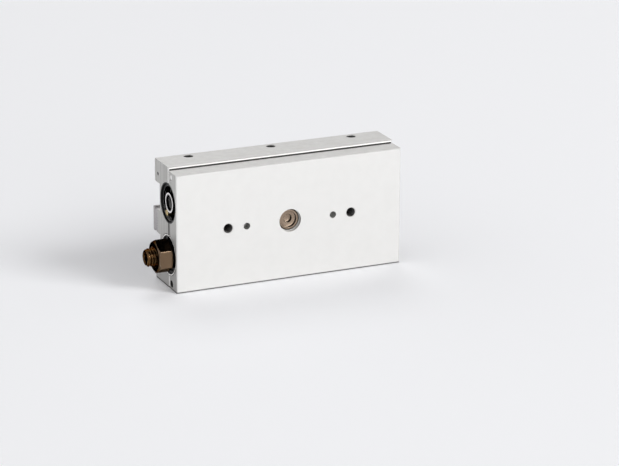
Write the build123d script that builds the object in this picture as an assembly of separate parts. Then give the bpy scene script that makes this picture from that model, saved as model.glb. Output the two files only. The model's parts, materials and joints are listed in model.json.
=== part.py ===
from build123d import *
import math
import os

# Pneumatic two-jaw gripper with a flat body, two round racks and one pinion.
# Millimetres, +Z up. The origin is the centre of the flat mounting face, on the pinion axis.
# The mounting face looks along -Y, the jaws are on the +Y side and slide along X.
# Everything is drawn with the jaws fully open.

# Fits
fit_gap = 0.02
running_gap = 0.05
clear_gap = 0.3

# Opening stop with its lock nut, which the cylinder bores are made to take
nut_flat = 13.0
nut_height = 6.5
nut_chamfer_reach = 0.25
nut_side_gap = 1.9
nut_ring_gap = 0.9
stop_screw_r = 4.0
stop_stub_length = 3.95
stop_socket_flat = 4.0
stop_socket_depth = 4.0
stop_pad_r = 5.4
stop_pad_length = 2.6
stop_spigot_r = 1.5
stop_spigot_length = 1.5
stop_travel = 3.0

# Standard threads, pins and screws: tapped holes are drawn at the full radius of their thread
m4_r = 2.0
m5_r = 2.5
dowel_r = 1.5
screw_r = 1.5
screw_head_r = 2.75
screw_head_height = 3.0
screw_socket_flat = 2.5
screw_socket_depth = 1.6
head_clearance = 0.2
shank_clearance = 0.15
thread_chamfer = 0.3
screw_end_chamfer = 0.6

# Body, from the bores outwards
front_wall = 1.2
rear_wall = 1.0
half_web = 3.1
split_inset = 0.8
screw_wall = 0.7
body_screw_edge = 3.9
rear_step = 1.4
lip_height = 8.7
lip_depth = 5.4
rib_half_height = 5.4
rib_depth = 2.8
rail_depth = 5.4
rail_end_inset = 0.15
rail_groove_depth = 1.0
outer_chamfer = 0.4
seam_chamfer = 0.6
step_foot = 0.3
tube_wall = 0.85

# Travel
jaw_travel = 10.0
closed_gap = 1.0

# Pinion and racks
gear_module = 1.0
tooth_count = 14
pressure_angle = math.radians(20)
backlash = 0.1
rack_addendum = 0.8 * gear_module
tooth_depth_below_pitch = 1.25 * gear_module
pinion_root_depth = 1.05 * gear_module
pinion_width = 7.6
pinion_rim_gap = 0.35
washer_thickness = 0.4
washer_inset = 0.15
bush_wall = 1.2
rack_tube_gap = 1.33
rack_window_spare = 7.5

# Pinion pin, seen in the centring bore
centring_r = 5.0
centring_depth = 1.6
pin_head_step = 0.2
pin_seat_web = 1.1
pin_cover = 1.5
pin_r = 3.0
pin_rim = 1.3
pin_recess_depth = 1.1
pin_eye_r = 1.9
pin_eye_depth = 2.3

# Pistons and their rings
piston_length = 7.0
piston_shank_r = 2.5
piston_shank_length = 3.0
seal_section_r = 0.7
seal_offset = 4.9
wear_ring_width = 1.8
wear_ring_depth = 0.8
wear_ring_offset = 2.4
pad_r = 4.5
pad_height = 1.4
pad_seat = 0.8

# End caps and retaining rings
cap_flange_length = 6.0
cap_spigot_length = 2.0
ring_depth = 0.8
ring_thickness = 1.0
ring_band = 1.4
ring_groove_depth = 0.55
ring_opening = 46.0
ring_lug_length = 0.75
ring_lug_width = 2.0
ring_lug_hole_r = 0.5
ring_turns = (-62.0, 20.0)
boss_ring_gap = 0.25
boss_end_depth = 0.5
port_rim = 1.0
port_mouth_depth = 1.2
port_length = 6.5
port_passage_r = 1.1
cap_recess_depth = 2.2
puller_r = 1.25
puller_length = 4.0
throttle_head_r = 1.3
throttle_r = 0.8
throttle_length = 3.2
throttle_side_gap = 0.15
throttle_seal_gap = 0.41
throttle_slot = 0.45
throttle_slot_depth = 0.6

# Jaws, which set the body's length
jaw_length = 33.0
jaw_end_inset = 8.5
jaw_side_gap = 0.7
jaw_cover = 5.8
drive_pin_r = 2.5
drive_pin_inset = 9.5
drive_pin_reach = 2.0
drive_pin_seat = 6.0
slot_gap = 0.4
finger_edge = 4.5
finger_spacing_z = 21.0
finger_hole_depth = 8.0
finger_dowel_edge = 8.5
finger_dowel_depth = 4.5

# Hole positions
face_thread_spacing = 57.0
face_thread_depth = 7.5
face_dowel_spacing = 40.0
face_dowel_depth = 5.0
lip_thread_spacing = 38.0
lip_thread_inset = 2.0
lip_thread_depth = 8.0
lip_end_hole_r = 0.8
lip_end_hole_inset = 1.9
lip_end_hole_edge = 4.7
lip_end_hole_depth = 5.0
front_end_hole_r = 1.6
front_end_hole_land = 0.3
front_end_hole_edge = 2.45
front_end_hole_depth = 5.0
plug_depth = 0.1
inner_body_screw_x = 19.5
outer_body_screw_inset = 8.5
body_screw_floor = 2.6
body_dowel_x = 30.0
body_dowel_length = 10.0
inner_rail_screw_x = 16.0
outer_rail_screw_inset = 6.0
rail_screw_length = 11.0

# Worked out from the sizes above: the bores and the body around them
bore_r = nut_flat / 2 + nut_side_gap
bore_y = front_wall + bore_r
bore_z = half_web + bore_r
jaw_inner_x = closed_gap / 2 + jaw_travel
jaw_outer_x = jaw_inner_x + jaw_length
end_x = jaw_outer_x + jaw_end_inset
split_y = bore_y - split_inset
wall_y = bore_y + bore_r + rear_wall
lip_y = wall_y + lip_depth
rib_y = wall_y + rib_depth
rail_y = rib_y + rail_depth
rail_groove_y = (rib_y + rail_y) / 2
body_screw_z = bore_z + bore_r + screw_wall + screw_r
front_top = body_screw_z + body_screw_edge
rear_top = front_top + rear_step
step_round = rear_step - step_foot
channel_half_height = front_top - lip_height
body_screw_x = (inner_body_screw_x, end_x - outer_body_screw_inset)
rail_screw_x = (inner_rail_screw_x, end_x - outer_rail_screw_inset)
front_end_hole_y = split_y - seam_chamfer - front_end_hole_land - front_end_hole_r
front_end_hole_z = front_top - front_end_hole_edge
lip_thread_y = wall_y + lip_thread_inset
lip_end_hole_y = wall_y + lip_end_hole_inset
lip_end_hole_z = front_top - lip_end_hole_edge

# Worked out: tubes, end caps and stop
tube_r = bore_r - fit_gap
tube_bore_r = tube_r - tube_wall
cap_face_x = end_x - ring_depth - ring_thickness - fit_gap
tube_end_x = cap_face_x - cap_flange_length
cap_inner_x = tube_end_x - cap_spigot_length
cap_seal_x = tube_end_x + cap_flange_length / 2
cap_r = bore_r - fit_gap
cap_seal_floor_r = cap_r - 2 * seal_section_r - fit_gap
spigot_r = tube_bore_r - fit_gap
ring_lug_reach = bore_r - ring_band - ring_lug_length
cap_boss_r = ring_lug_reach - boss_ring_gap
throttle_radius = cap_seal_floor_r - throttle_seal_gap - throttle_r
port_boss_r = throttle_radius - throttle_head_r - throttle_side_gap
port_mouth_r = port_boss_r - port_rim
boss_x = end_x - boss_end_depth
throttle_turn = ring_turns[0]
throttle_floor_x = cap_face_x - cap_recess_depth
throttle_bottom_x = throttle_floor_x - throttle_length
nut_seat_x = -(end_x - ring_depth + nut_ring_gap)
stop_screw_left = nut_seat_x - nut_height - stop_stub_length
stop_pad_face_x = -(cap_inner_x - stop_travel)

# Worked out: gear, racks and pistons
pitch_r = gear_module * tooth_count / 2
pinion_r = pitch_r + gear_module
pinion_root_r = pitch_r - pinion_root_depth
washer_r = pinion_root_r - washer_inset
rack_pitch = math.pi * gear_module
rack_r = tube_bore_r - rack_tube_gap
rack_tip_z = pitch_r - rack_addendum
rack_root_z = pitch_r + tooth_depth_below_pitch
rack_half_window = jaw_travel / 2 + rack_window_spare
cavity_r = pinion_r + pinion_rim_gap
cavity_half_width = pinion_width / 2 + washer_thickness + 2 * running_gap
bush_bore_r = pin_r + running_gap
bush_r = bush_bore_r + bush_wall
pin_head_r = centring_r - pin_head_step
pin_recess_r = pin_head_r - pin_rim
pin_shoulder_y = bore_y - cavity_half_width - pin_seat_web
pin_end_y = wall_y - pin_cover
piston_r = tube_bore_r - running_gap
upper_bar_right = cap_inner_x - clear_gap
upper_bar_left = jaw_travel - upper_bar_right
lower_bar_right = -upper_bar_left
lower_bar_left = stop_pad_face_x + clear_gap

# Worked out: jaws
jaw_centre_x = (jaw_inner_x + jaw_outer_x) / 2
jaw_half_height = channel_half_height - jaw_side_gap
jaw_face_y = rail_y + jaw_cover
finger_half_spacing = jaw_length / 2 - finger_edge
finger_dowel_half_spacing = jaw_length / 2 - finger_dowel_edge
drive_x = jaw_inner_x + drive_pin_inset
drive_pin_start_y = bore_y - drive_pin_reach
drive_pin_end_y = wall_y + clear_gap + drive_pin_seat
slot_half_height = drive_pin_r + slot_gap
body_head_seat = lip_y - screw_head_height - head_clearance
rail_head_seat = rail_y - screw_head_height - head_clearance
rail_screw_bottom = rail_head_seat - rail_screw_length


def block(x_from, x_to, y_from, y_to, z_from, z_to):
    size = (x_to - x_from, y_to - y_from, z_to - z_from)
    middle = ((x_from + x_to) / 2, (y_from + y_to) / 2, (z_from + z_to) / 2)
    return Pos(*middle) * Box(*size)


def rod_x(radius, x_from, x_to, y, z):
    return Pos((x_from + x_to) / 2, y, z) * Rot(0, 90, 0) * Cylinder(radius, x_to - x_from)


def rod_y(radius, y_from, y_to, x, z):
    return Pos(x, (y_from + y_to) / 2, z) * Rot(90, 0, 0) * Cylinder(radius, y_to - y_from)


def rod_z(radius, z_from, z_to, x, y):
    return Pos(x, y, (z_from + z_to) / 2) * Cylinder(radius, z_to - z_from)


def countersink(radius, depth):
    """A cone that opens from radius at the bottom to radius + depth at the top, base at z = 0."""
    return Pos(0, 0, depth / 2) * Cone(radius, radius + depth, depth)


def tapped_y(thread_r, x, z, face_y, depth):
    """Cutter for a tapped blind hole that opens towards -Y at face_y."""
    mouth = Pos(x, face_y + thread_chamfer, z) * Rot(90, 0, 0) * countersink(thread_r, thread_chamfer)
    return rod_y(thread_r, face_y, face_y + depth, x, z) + mouth


def tapped_back_y(thread_r, x, z, face_y, depth):
    """Cutter for a tapped blind hole that opens towards +Y at face_y."""
    mouth = Pos(x, face_y - thread_chamfer, z) * Rot(-90, 0, 0) * countersink(thread_r, thread_chamfer)
    return rod_y(thread_r, face_y - depth, face_y, x, z) + mouth


def tapped_z(thread_r, x, y, face_z, depth):
    """Cutter for a tapped blind hole that opens towards +Z at face_z."""
    mouth = Pos(x, y, face_z - thread_chamfer) * countersink(thread_r, thread_chamfer)
    return rod_z(thread_r, face_z - depth, face_z, x, y) + mouth


def end_hole(radius, side, y, z, depth):
    """Cutter for a blind hole in the left (side -1) or right (side 1) end face."""
    low, high = sorted((side * (end_x - depth), side * end_x))
    return rod_x(radius, low, high, y, z)


def ring_groove(side, z):
    """Cutter for the groove that takes a retaining ring."""
    low, high = sorted((side * (end_x - ring_depth), side * (end_x - ring_depth - ring_thickness)))
    return rod_x(bore_r + ring_groove_depth, low, high, bore_y, z)


def drive_slot(x_open, z):
    """Cutter for the slot that a drive pin travels in, from the rack out through the rear wall."""
    x_closed = x_open - math.copysign(jaw_travel, x_open)
    low, high = sorted((x_open, x_closed))
    straight = block(low, high, bore_y, wall_y, z - slot_half_height, z + slot_half_height)
    first = rod_y(slot_half_height, bore_y, wall_y, low, z)
    last = rod_y(slot_half_height, bore_y, wall_y, high, z)
    return straight + first + last


def pinion_cavity():
    return rod_y(cavity_r, bore_y - cavity_half_width, bore_y + cavity_half_width, 0, 0)


def both_bores():
    cutter = rod_x(bore_r, -end_x, end_x, bore_y, bore_z) + rod_x(bore_r, -end_x, end_x, bore_y, -bore_z)
    for side in (-1, 1):
        for z in (-bore_z, bore_z):
            cutter += ring_groove(side, z)
    return cutter


def body_screw_places():
    for x in body_screw_x:
        for x_side in (-1, 1):
            for z_side in (-1, 1):
                yield x_side * x, z_side * body_screw_z


def body_dowel_places():
    return ((body_dowel_x, body_screw_z), (-body_dowel_x, -body_screw_z))


def front_housing():
    body = block(-end_x, end_x, 0, split_y, -front_top, front_top)
    front_edges = body.faces().sort_by(Axis.Y)[0].edges()
    body = chamfer(front_edges, outer_chamfer)
    seam_edges = body.faces().sort_by(Axis.Y)[-1].edges()
    body = chamfer(seam_edges, seam_chamfer)
    body -= both_bores()
    body -= pinion_cavity()
    body -= rod_y(centring_r, 0, centring_depth, 0, 0)
    body -= rod_y(pin_head_r + fit_gap, centring_depth, pin_shoulder_y, 0, 0)
    body -= rod_y(pin_r + fit_gap, 0, split_y, 0, 0)
    for side in (-1, 1):
        body -= tapped_y(m4_r, side * face_thread_spacing / 2, 0, 0, face_thread_depth)
        body -= rod_y(dowel_r, 0, face_dowel_depth, side * face_dowel_spacing / 2, 0)
        for z in (-front_end_hole_z, front_end_hole_z):
            body -= end_hole(front_end_hole_r, side, front_end_hole_y, z, front_end_hole_depth)
    for x, z in body_screw_places():
        body -= rod_y(screw_r + fit_gap, body_screw_floor, split_y, x, z)
    for x, z in body_dowel_places():
        body -= rod_y(dowel_r + fit_gap, split_y - body_dowel_length / 2, split_y, x, z)
    return body


def rear_housing():
    middle = block(-end_x, end_x, split_y, wall_y, -front_top, rear_top)
    upper_lip = block(-end_x, end_x, wall_y, lip_y, channel_half_height, rear_top)
    lower_lip = block(-end_x, end_x, wall_y, lip_y, -front_top, -channel_half_height)
    rib = block(-end_x, end_x, wall_y, rib_y, -rib_half_height, rib_half_height)
    body = middle + upper_lip + lower_lip + rib
    end_edges = body.edges().filter_by(Axis.Z).group_by(Axis.Y)[0]
    body = chamfer(end_edges, seam_chamfer)
    long_edges = body.edges().filter_by(Axis.X).group_by(Axis.Y)[0]
    body = chamfer(long_edges.sort_by(Axis.Z)[0], seam_chamfer)
    long_edges = body.edges().filter_by(Axis.X).group_by(Axis.Y)[0]
    body = fillet(long_edges.sort_by(Axis.Z)[-1], step_round)
    rear_edges = body.edges().filter_by(Axis.X).group_by(Axis.Y)[-1]
    body = chamfer(rear_edges, outer_chamfer)
    body -= both_bores()
    body -= pinion_cavity()
    body -= rod_y(pin_r + fit_gap, split_y, pin_end_y + fit_gap, 0, 0)
    body -= drive_slot(drive_x, bore_z)
    body -= drive_slot(-drive_x, -bore_z)
    for x in (-lip_thread_spacing, 0, lip_thread_spacing):
        body -= tapped_z(m4_r, x, lip_thread_y, rear_top, lip_thread_depth)
    for side in (-1, 1):
        for z in (-lip_end_hole_z, lip_end_hole_z):
            body -= end_hole(lip_end_hole_r, side, lip_end_hole_y, z, lip_end_hole_depth)
        for x in rail_screw_x:
            body -= rod_y(screw_r + fit_gap, rail_screw_bottom, rib_y, side * x, 0)
    for x, z in body_screw_places():
        body -= rod_y(screw_r + shank_clearance, split_y, lip_y, x, z)
        body -= rod_y(screw_head_r + head_clearance, body_head_seat, lip_y, x, z)
    for x, z in body_dowel_places():
        body -= rod_y(dowel_r + fit_gap, split_y, split_y + body_dowel_length / 2, x, z)
    return body


def rail_groove(side, grow):
    """Vee-shaped bar along X that forms the rail's side groove, or the jaw's rib that runs in it."""
    reach = rail_groove_depth + grow
    tip = side * (rib_half_height - reach)
    root = side * (rib_half_height + clear_gap)
    half = reach + clear_gap
    corners = [(rail_groove_y, tip), (rail_groove_y + half, root), (rail_groove_y - half, root)]
    profile = make_face(Polyline([(0, y, z) for y, z in corners], close=True))
    return profile


def guide_rail():
    rail_end = end_x - rail_end_inset
    rail = block(-rail_end, rail_end, rib_y, rail_y, -rib_half_height, rib_half_height)
    rear_edges = rail.edges().filter_by(Axis.X).group_by(Axis.Y)[-1]
    rail = chamfer(rear_edges, outer_chamfer)
    for side in (-1, 1):
        rail -= extrude(rail_groove(side, 0), amount=end_x, dir=(1, 0, 0), both=True)
        for x in rail_screw_x:
            rail -= rod_y(screw_r + shank_clearance, rib_y, rail_y, side * x, 0)
            rail -= rod_y(screw_head_r + head_clearance, rail_head_seat, rail_y, side * x, 0)
    return rail


def socket_screw(x, z, seat_y, end_y):
    """Cap screw along Y with its head towards +Y."""
    head = rod_y(screw_head_r, seat_y, seat_y + screw_head_height, x, z)
    shank = rod_y(screw_r, end_y, seat_y, x, z)
    socket = extrude(RegularPolygon(screw_socket_flat / 2, 6, major_radius=False), screw_socket_depth)
    top = seat_y + screw_head_height
    return head + shank - Pos(x, top, z) * Rot(90, 0, 0) * socket


def body_screws():
    bottom = body_screw_floor + head_clearance
    return [socket_screw(x, z, body_head_seat, bottom) for x, z in body_screw_places()]


def rail_screws():
    places = [side * x for x in rail_screw_x for side in (-1, 1)]
    return [socket_screw(x, 0, rail_head_seat, rail_screw_bottom + head_clearance) for x in places]


def body_dowels():
    half = body_dowel_length / 2 - head_clearance
    return [rod_y(dowel_r, split_y - half, split_y + half, x, z) for x, z in body_dowel_places()]


def end_plugs():
    """Ball that closes each upper corner hole of the front half."""
    centre_x = end_x - plug_depth - front_end_hole_r
    radius = front_end_hole_r - fit_gap
    return [Pos(side * centre_x, front_end_hole_y, front_end_hole_z) * Sphere(radius) for side in (-1, 1)]


def cylinder_tube(z, slot_x):
    tube = rod_x(tube_r, -tube_end_x, tube_end_x, bore_y, z)
    tube -= rod_x(tube_bore_r, -tube_end_x, tube_end_x, bore_y, z)
    tube -= pinion_cavity()
    tube -= drive_slot(slot_x, z)
    return tube


def cap_blank(z):
    """Right-hand end cap: flange in the body bore, spigot with a seal groove in the tube."""
    cap = rod_x(cap_r, tube_end_x, cap_face_x, bore_y, z)
    cap += rod_x(spigot_r, cap_inner_x, tube_end_x, bore_y, z)
    cap -= seal_groove(cap_seal_x, z, cap_r)
    return cap


def seal_groove(x, z, outer_r):
    half = seal_section_r + fit_gap
    ring = rod_x(outer_r + 1, x - half, x + half, bore_y, z)
    return ring - rod_x(outer_r - 2 * seal_section_r - fit_gap, x - half, x + half, bore_y, z)


def seal_ring(x, z, outer_r):
    centre_r = outer_r - seal_section_r
    return Pos(x, bore_y, z) * Rot(0, 90, 0) * Torus(centre_r, seal_section_r - fit_gap)


def throttle_axis(z):
    turn = math.radians(throttle_turn)
    return bore_y + throttle_radius * math.cos(turn), z + throttle_radius * math.sin(turn)


def port_cap(z):
    cap = cap_blank(z) + rod_x(port_boss_r, cap_face_x, boss_x, bore_y, z)
    recess = rod_x(spigot_r, throttle_floor_x, cap_face_x, bore_y, z)
    recess -= rod_x(port_boss_r, throttle_floor_x, cap_face_x, bore_y, z)
    cap -= recess
    thread_x = boss_x - port_mouth_depth
    cap -= rod_x(port_mouth_r, thread_x, boss_x, bore_y, z)
    cap -= rod_x(m5_r, boss_x - port_length, boss_x, bore_y, z)
    cap -= Pos(thread_x - thread_chamfer, bore_y, z) * Rot(0, 90, 0) * countersink(m5_r, thread_chamfer)
    cap -= rod_x(port_passage_r, cap_inner_x, boss_x, bore_y, z)
    y, screw_z = throttle_axis(z)
    cap -= rod_x(throttle_r + fit_gap, throttle_bottom_x, cap_face_x, y, screw_z)
    return cap


def throttle_screw(z):
    """Slotted brass screw in the cap's ring-shaped recess; its head fills the ring's opening."""
    y, screw_z = throttle_axis(z)
    head = rod_x(throttle_head_r, throttle_floor_x, boss_x, y, screw_z)
    shank = rod_x(throttle_r, throttle_bottom_x + clear_gap, throttle_floor_x, y, screw_z)
    slot = Pos(boss_x, y, screw_z) * Box(2 * throttle_slot_depth, throttle_slot, 2 * throttle_head_r)
    return head + shank - slot


def plain_cap(z):
    cap = cap_blank(z) + rod_x(cap_boss_r, cap_face_x, boss_x, bore_y, z)
    cap -= rod_x(puller_r, end_x - puller_length, end_x, bore_y, z)
    return cap


def stop_cap(z):
    """Cap drawn on the right, with the opening stop's thread and a pocket for its pad."""
    cap = cap_blank(z) + rod_x(cap_boss_r, cap_face_x, -nut_seat_x, bore_y, z)
    cap -= rod_x(stop_screw_r + fit_gap, cap_inner_x, -nut_seat_x, bore_y, z)
    pocket_end = cap_inner_x + stop_pad_length + clear_gap
    cap -= rod_x(stop_pad_r + clear_gap, cap_inner_x, pocket_end, bore_y, z)
    return cap


def retaining_ring(z, turn):
    """Open ring with two eyes, drawn in the right-hand groove and turned about the bore."""
    outer = bore_r + ring_groove_depth - fit_gap
    inner = bore_r - ring_band
    ring = Cylinder(outer, ring_thickness) - Cylinder(inner, ring_thickness)
    reach = 2 * outer
    half = math.radians(ring_opening / 2)
    wedge = Polygon((0, 0), (reach, -reach * math.tan(half)), (reach, reach * math.tan(half)), align=None)
    ring -= extrude(wedge, ring_thickness, both=True)
    lug_length = inner + fit_gap * 10 - ring_lug_reach
    lug_angle = ring_opening / 2 + math.degrees(ring_lug_width / 2 / inner)
    for side in (-1, 1):
        lug = Pos(ring_lug_reach + lug_length / 2, 0, 0) * Box(lug_length, ring_lug_width, ring_thickness)
        eye = Pos(ring_lug_reach + lug_length, 0, 0) * Cylinder(ring_lug_hole_r, ring_thickness)
        ring += Rot(0, 0, side * lug_angle) * lug
        ring -= Rot(0, 0, side * lug_angle) * eye
    middle_x = end_x - ring_depth - ring_thickness / 2
    groove_plane = Plane(origin=(middle_x, bore_y, z), x_dir=(0, 1, 0), z_dir=(1, 0, 0))
    return groove_plane * Rot(0, 0, turn) * ring


def mirrored(solid):
    return solid.mirror(Plane.YZ)


def retaining_rings():
    rings = []
    for z, turn in zip((bore_z, -bore_z), ring_turns):
        ring = retaining_ring(z, turn)
        rings += [ring, mirrored(ring)]
    return rings


def cap_seals():
    places = [(side * cap_seal_x, z) for side in (-1, 1) for z in (-bore_z, bore_z)]
    return [seal_ring(x, z, cap_r) for x, z in places]


def pinion_pin():
    pin = rod_y(pin_head_r, centring_depth, pin_shoulder_y, 0, 0)
    pin += rod_y(pin_r, pin_shoulder_y, pin_end_y, 0, 0)
    pin -= rod_y(pin_recess_r, centring_depth, centring_depth + pin_recess_depth, 0, 0)
    pin -= rod_y(pin_eye_r, centring_depth, centring_depth + pin_eye_depth, 0, 0)
    return pin


def thrust_washers():
    washers = []
    for side in (-1, 1):
        near = side * (pinion_width / 2 + running_gap)
        far = near + side * washer_thickness
        low, high = sorted((bore_y + near, bore_y + far))
        washers.append(rod_y(washer_r, low, high, 0, 0) - rod_y(bush_bore_r, low, high, 0, 0))
    return washers


def on_gear(radius, angle):
    return Vector(radius * math.sin(angle), 0, radius * math.cos(angle))


def involute(angle):
    return math.tan(angle) - angle


def half_tooth_angle(radius):
    """Half the angle that a tooth fills at a radius on its involute flank."""
    base_r = pitch_r * math.cos(pressure_angle)
    at_pitch = (rack_pitch / 2 - backlash) / 2 / pitch_r
    return at_pitch + involute(pressure_angle) - involute(math.acos(min(1.0, base_r / radius)))


def pinion():
    base_r = pitch_r * math.cos(pressure_angle)
    flank_radii = (base_r, (base_r + pinion_r) / 2, pinion_r)
    edges = []
    for tooth in range(tooth_count):
        centre = 2 * math.pi * tooth / tooth_count
        rise = [on_gear(r, centre - half_tooth_angle(r)) for r in flank_radii]
        fall = [on_gear(r, centre + half_tooth_angle(r)) for r in reversed(flank_radii)]
        foot = on_gear(pinion_root_r, centre - half_tooth_angle(base_r))
        far_foot = on_gear(pinion_root_r, centre + half_tooth_angle(base_r))
        next_foot = on_gear(pinion_root_r, centre + 2 * math.pi / tooth_count - half_tooth_angle(base_r))
        edges += [
            Line(foot, rise[0]),
            ThreePointArc(*rise),
            Line(rise[2], fall[0]),
            ThreePointArc(*fall),
            Line(fall[2], far_foot),
            Line(far_foot, next_foot),
        ]
    profile = Face(Wire(edges))
    gear = extrude(profile, amount=pinion_width / 2, dir=(0, 1, 0), both=True)
    gear = Pos(0, bore_y, 0) * gear
    return gear - rod_y(bush_r + fit_gap, 0, lip_y, 0, 0)


def pinion_bush():
    half = pinion_width / 2
    bush = rod_y(bush_r, bore_y - half, bore_y + half, 0, 0)
    return bush - rod_y(bush_bore_r, bore_y - half, bore_y + half, 0, 0)


def rack_gap(x, side):
    """Prism that cuts one tooth space into a rack; side is 1 for the upper rack."""
    slope = math.tan(pressure_angle)
    half_at_pitch = (rack_pitch / 2 + backlash) / 2
    deep = rack_root_z
    shallow = rack_tip_z - 1
    half_deep = half_at_pitch - (deep - pitch_r) * slope
    half_shallow = half_at_pitch + (pitch_r - shallow) * slope
    corners = [(-half_shallow, shallow), (half_shallow, shallow), (half_deep, deep), (-half_deep, deep)]
    profile = make_face(Polyline([(x + u, bore_y, side * v) for u, v in corners], close=True))
    return extrude(profile, amount=rack_r, dir=(0, 1, 0), both=True)


def rack(side, x_from, x_to):
    """Round bar with teeth along the stretch that passes the pinion."""
    z = side * bore_z
    bar = rod_x(rack_r, x_from, x_to, bore_y, z)
    middle = side * jaw_travel / 2
    low = middle - rack_half_window
    high = middle + rack_half_window
    near, far = sorted((side * (rack_tip_z - rack_r), side * rack_tip_z))
    bar -= block(low, high, bore_y - rack_r, bore_y + rack_r, near, far)
    reach = int(rack_half_window / rack_pitch)
    shift = round(middle / rack_pitch)
    for number in range(shift - reach, shift + reach + 1):
        bar -= rack_gap(number * rack_pitch, side)
    bar -= rod_y(drive_pin_r + fit_gap, drive_pin_start_y - fit_gap, bore_y + rack_r, side * drive_x, z)
    for inner, outer in ((x_from, x_from + piston_shank_length), (x_to - piston_shank_length, x_to)):
        bar -= rod_x(piston_shank_r + fit_gap, inner, outer, bore_y, z)
    return bar


def piston(end, towards, z, with_seal):
    """Piston with its shank: end is its outer face, towards is the way its outer face looks."""
    def span(start, length):
        return sorted((end - towards * start, end - towards * (start + length)))

    body = rod_x(piston_r, *span(0, piston_length), bore_y, z)
    body += rod_x(piston_shank_r, *span(piston_length, piston_shank_length - clear_gap), bore_y, z)
    body -= rod_x(pad_r + fit_gap, *span(0, pad_seat), bore_y, z)
    wear = span(wear_ring_offset - wear_ring_width / 2 - fit_gap, wear_ring_width + 2 * fit_gap)
    floor = rod_x(piston_r - wear_ring_depth - fit_gap, *wear, bore_y, z)
    body -= rod_x(piston_r + 1, *wear, bore_y, z) - floor
    if with_seal:
        body -= seal_groove(end - towards * seal_offset, z, piston_r)
    return body


def wear_ring(end, towards, z):
    centre = end - towards * wear_ring_offset
    low, high = centre - wear_ring_width / 2, centre + wear_ring_width / 2
    ring = rod_x(piston_r, low, high, bore_y, z)
    return ring - rod_x(piston_r - wear_ring_depth, low, high, bore_y, z)


def end_pad(end, towards, z):
    """Soft pad seated in the piston's outer face, which is pad_height - pad_seat behind its own face."""
    low, high = sorted((end + towards * (pad_height - pad_seat), end - towards * pad_seat))
    return rod_x(pad_r, low, high, bore_y, z)


def bar_ends(left, right):
    """Outer faces of a bar's two pistons, which sit behind the pads that end it."""
    proud = pad_height - pad_seat
    return ((left + proud, -1), (right - proud, 1))


def bar_pieces(side, left, right, with_seal):
    z = side * bore_z
    ends = bar_ends(left, right)
    inner_left = ends[0][0] + piston_length
    inner_right = ends[1][0] - piston_length
    return {
        "rack": rack(side, inner_left, inner_right),
        "pistons": [piston(end, towards, z, with_seal) for end, towards in ends],
        "wear_rings": [wear_ring(end, towards, z) for end, towards in ends],
        "end_pads": [end_pad(end, towards, z) for end, towards in ends],
        "seals": [seal_ring(end - towards * seal_offset, z, piston_r) for end, towards in ends],
    }


def drive_pin(side):
    return rod_y(drive_pin_r, drive_pin_start_y, drive_pin_end_y, side * drive_x, side * bore_z)


def jaw(side):
    """Carriage that wraps the rail. It is drawn on the right, then mirrored for side -1."""
    body = block(jaw_inner_x, jaw_outer_x, wall_y + clear_gap, jaw_face_y, -jaw_half_height, jaw_half_height)
    body = chamfer(body.edges().filter_by(Axis.X).group_by(Axis.Y)[-1], outer_chamfer)
    slot_half = rib_half_height + running_gap
    body -= block(jaw_inner_x, jaw_outer_x, wall_y, rail_y + running_gap, -slot_half, slot_half)
    for z_side in (-1, 1):
        rib = Pos(jaw_inner_x, 0, 0) * extrude(rail_groove(z_side, -running_gap), jaw_length, dir=(1, 0, 0))
        body += rib
        for x_side in (-1, 1):
            x = jaw_centre_x + x_side * finger_half_spacing
            z = z_side * finger_spacing_z / 2
            body -= tapped_back_y(m4_r, x, z, jaw_face_y, finger_hole_depth)
    for x_side in (-1, 1):
        x = jaw_centre_x + x_side * finger_dowel_half_spacing
        body -= rod_y(dowel_r, jaw_face_y - finger_dowel_depth, jaw_face_y, x, 0)
    body -= rod_y(drive_pin_r + fit_gap, wall_y, drive_pin_end_y + fit_gap, drive_x, side * bore_z)
    return body if side > 0 else mirrored(body)


def hexagon(flat, height):
    """Hexagonal bar along X from 0 to height, with flats towards -Y and +Y."""
    outline = RegularPolygon(flat / 2, 6, major_radius=False)
    return Rot(0, 90, 0) * extrude(outline, height)


def lock_nut():
    blank = hexagon(nut_flat, nut_height)
    corner_r = nut_flat / math.sqrt(3)
    end_r = nut_flat / 2 + nut_chamfer_reach
    bevel = corner_r - end_r
    barrel = Pos(bevel / 2, 0, 0) * Rot(0, 90, 0) * Cone(end_r, corner_r, bevel)
    straight = nut_height - 2 * bevel
    barrel += Pos(bevel + straight / 2, 0, 0) * Rot(0, 90, 0) * Cylinder(corner_r, straight)
    barrel += Pos(nut_height - bevel / 2, 0, 0) * Rot(0, 90, 0) * Cone(corner_r, end_r, bevel)
    nut = blank & barrel
    nut = Pos(nut_seat_x - nut_height, bore_y, -bore_z) * nut
    return nut - rod_x(stop_screw_r + fit_gap, nut_seat_x - nut_height, nut_seat_x, bore_y, -bore_z)


def stop_screw():
    tip_x = stop_pad_face_x - stop_pad_length
    screw = rod_x(stop_screw_r, stop_screw_left, tip_x, bore_y, -bore_z)
    left_face = screw.faces().sort_by(Axis.X)[0]
    screw = chamfer(left_face.edges(), screw_end_chamfer)
    screw += rod_x(stop_spigot_r, tip_x, tip_x + stop_spigot_length, bore_y, -bore_z)
    socket = Pos(stop_screw_left, bore_y, -bore_z) * hexagon(stop_socket_flat, stop_socket_depth)
    return screw - socket


def stop_pad():
    left = stop_pad_face_x - stop_pad_length
    pad = rod_x(stop_pad_r, left, stop_pad_face_x, bore_y, -bore_z)
    hole_end = left + stop_spigot_length + fit_gap
    return pad - rod_x(stop_spigot_r + running_gap, left, hole_end, bore_y, -bore_z)


def write(name, shapes):
    solids = shapes if isinstance(shapes, list) else [shapes]
    whole = Compound(children=solids) if len(solids) > 1 else solids[0]
    export_step(whole, f"parts/{name}.step")


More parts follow.
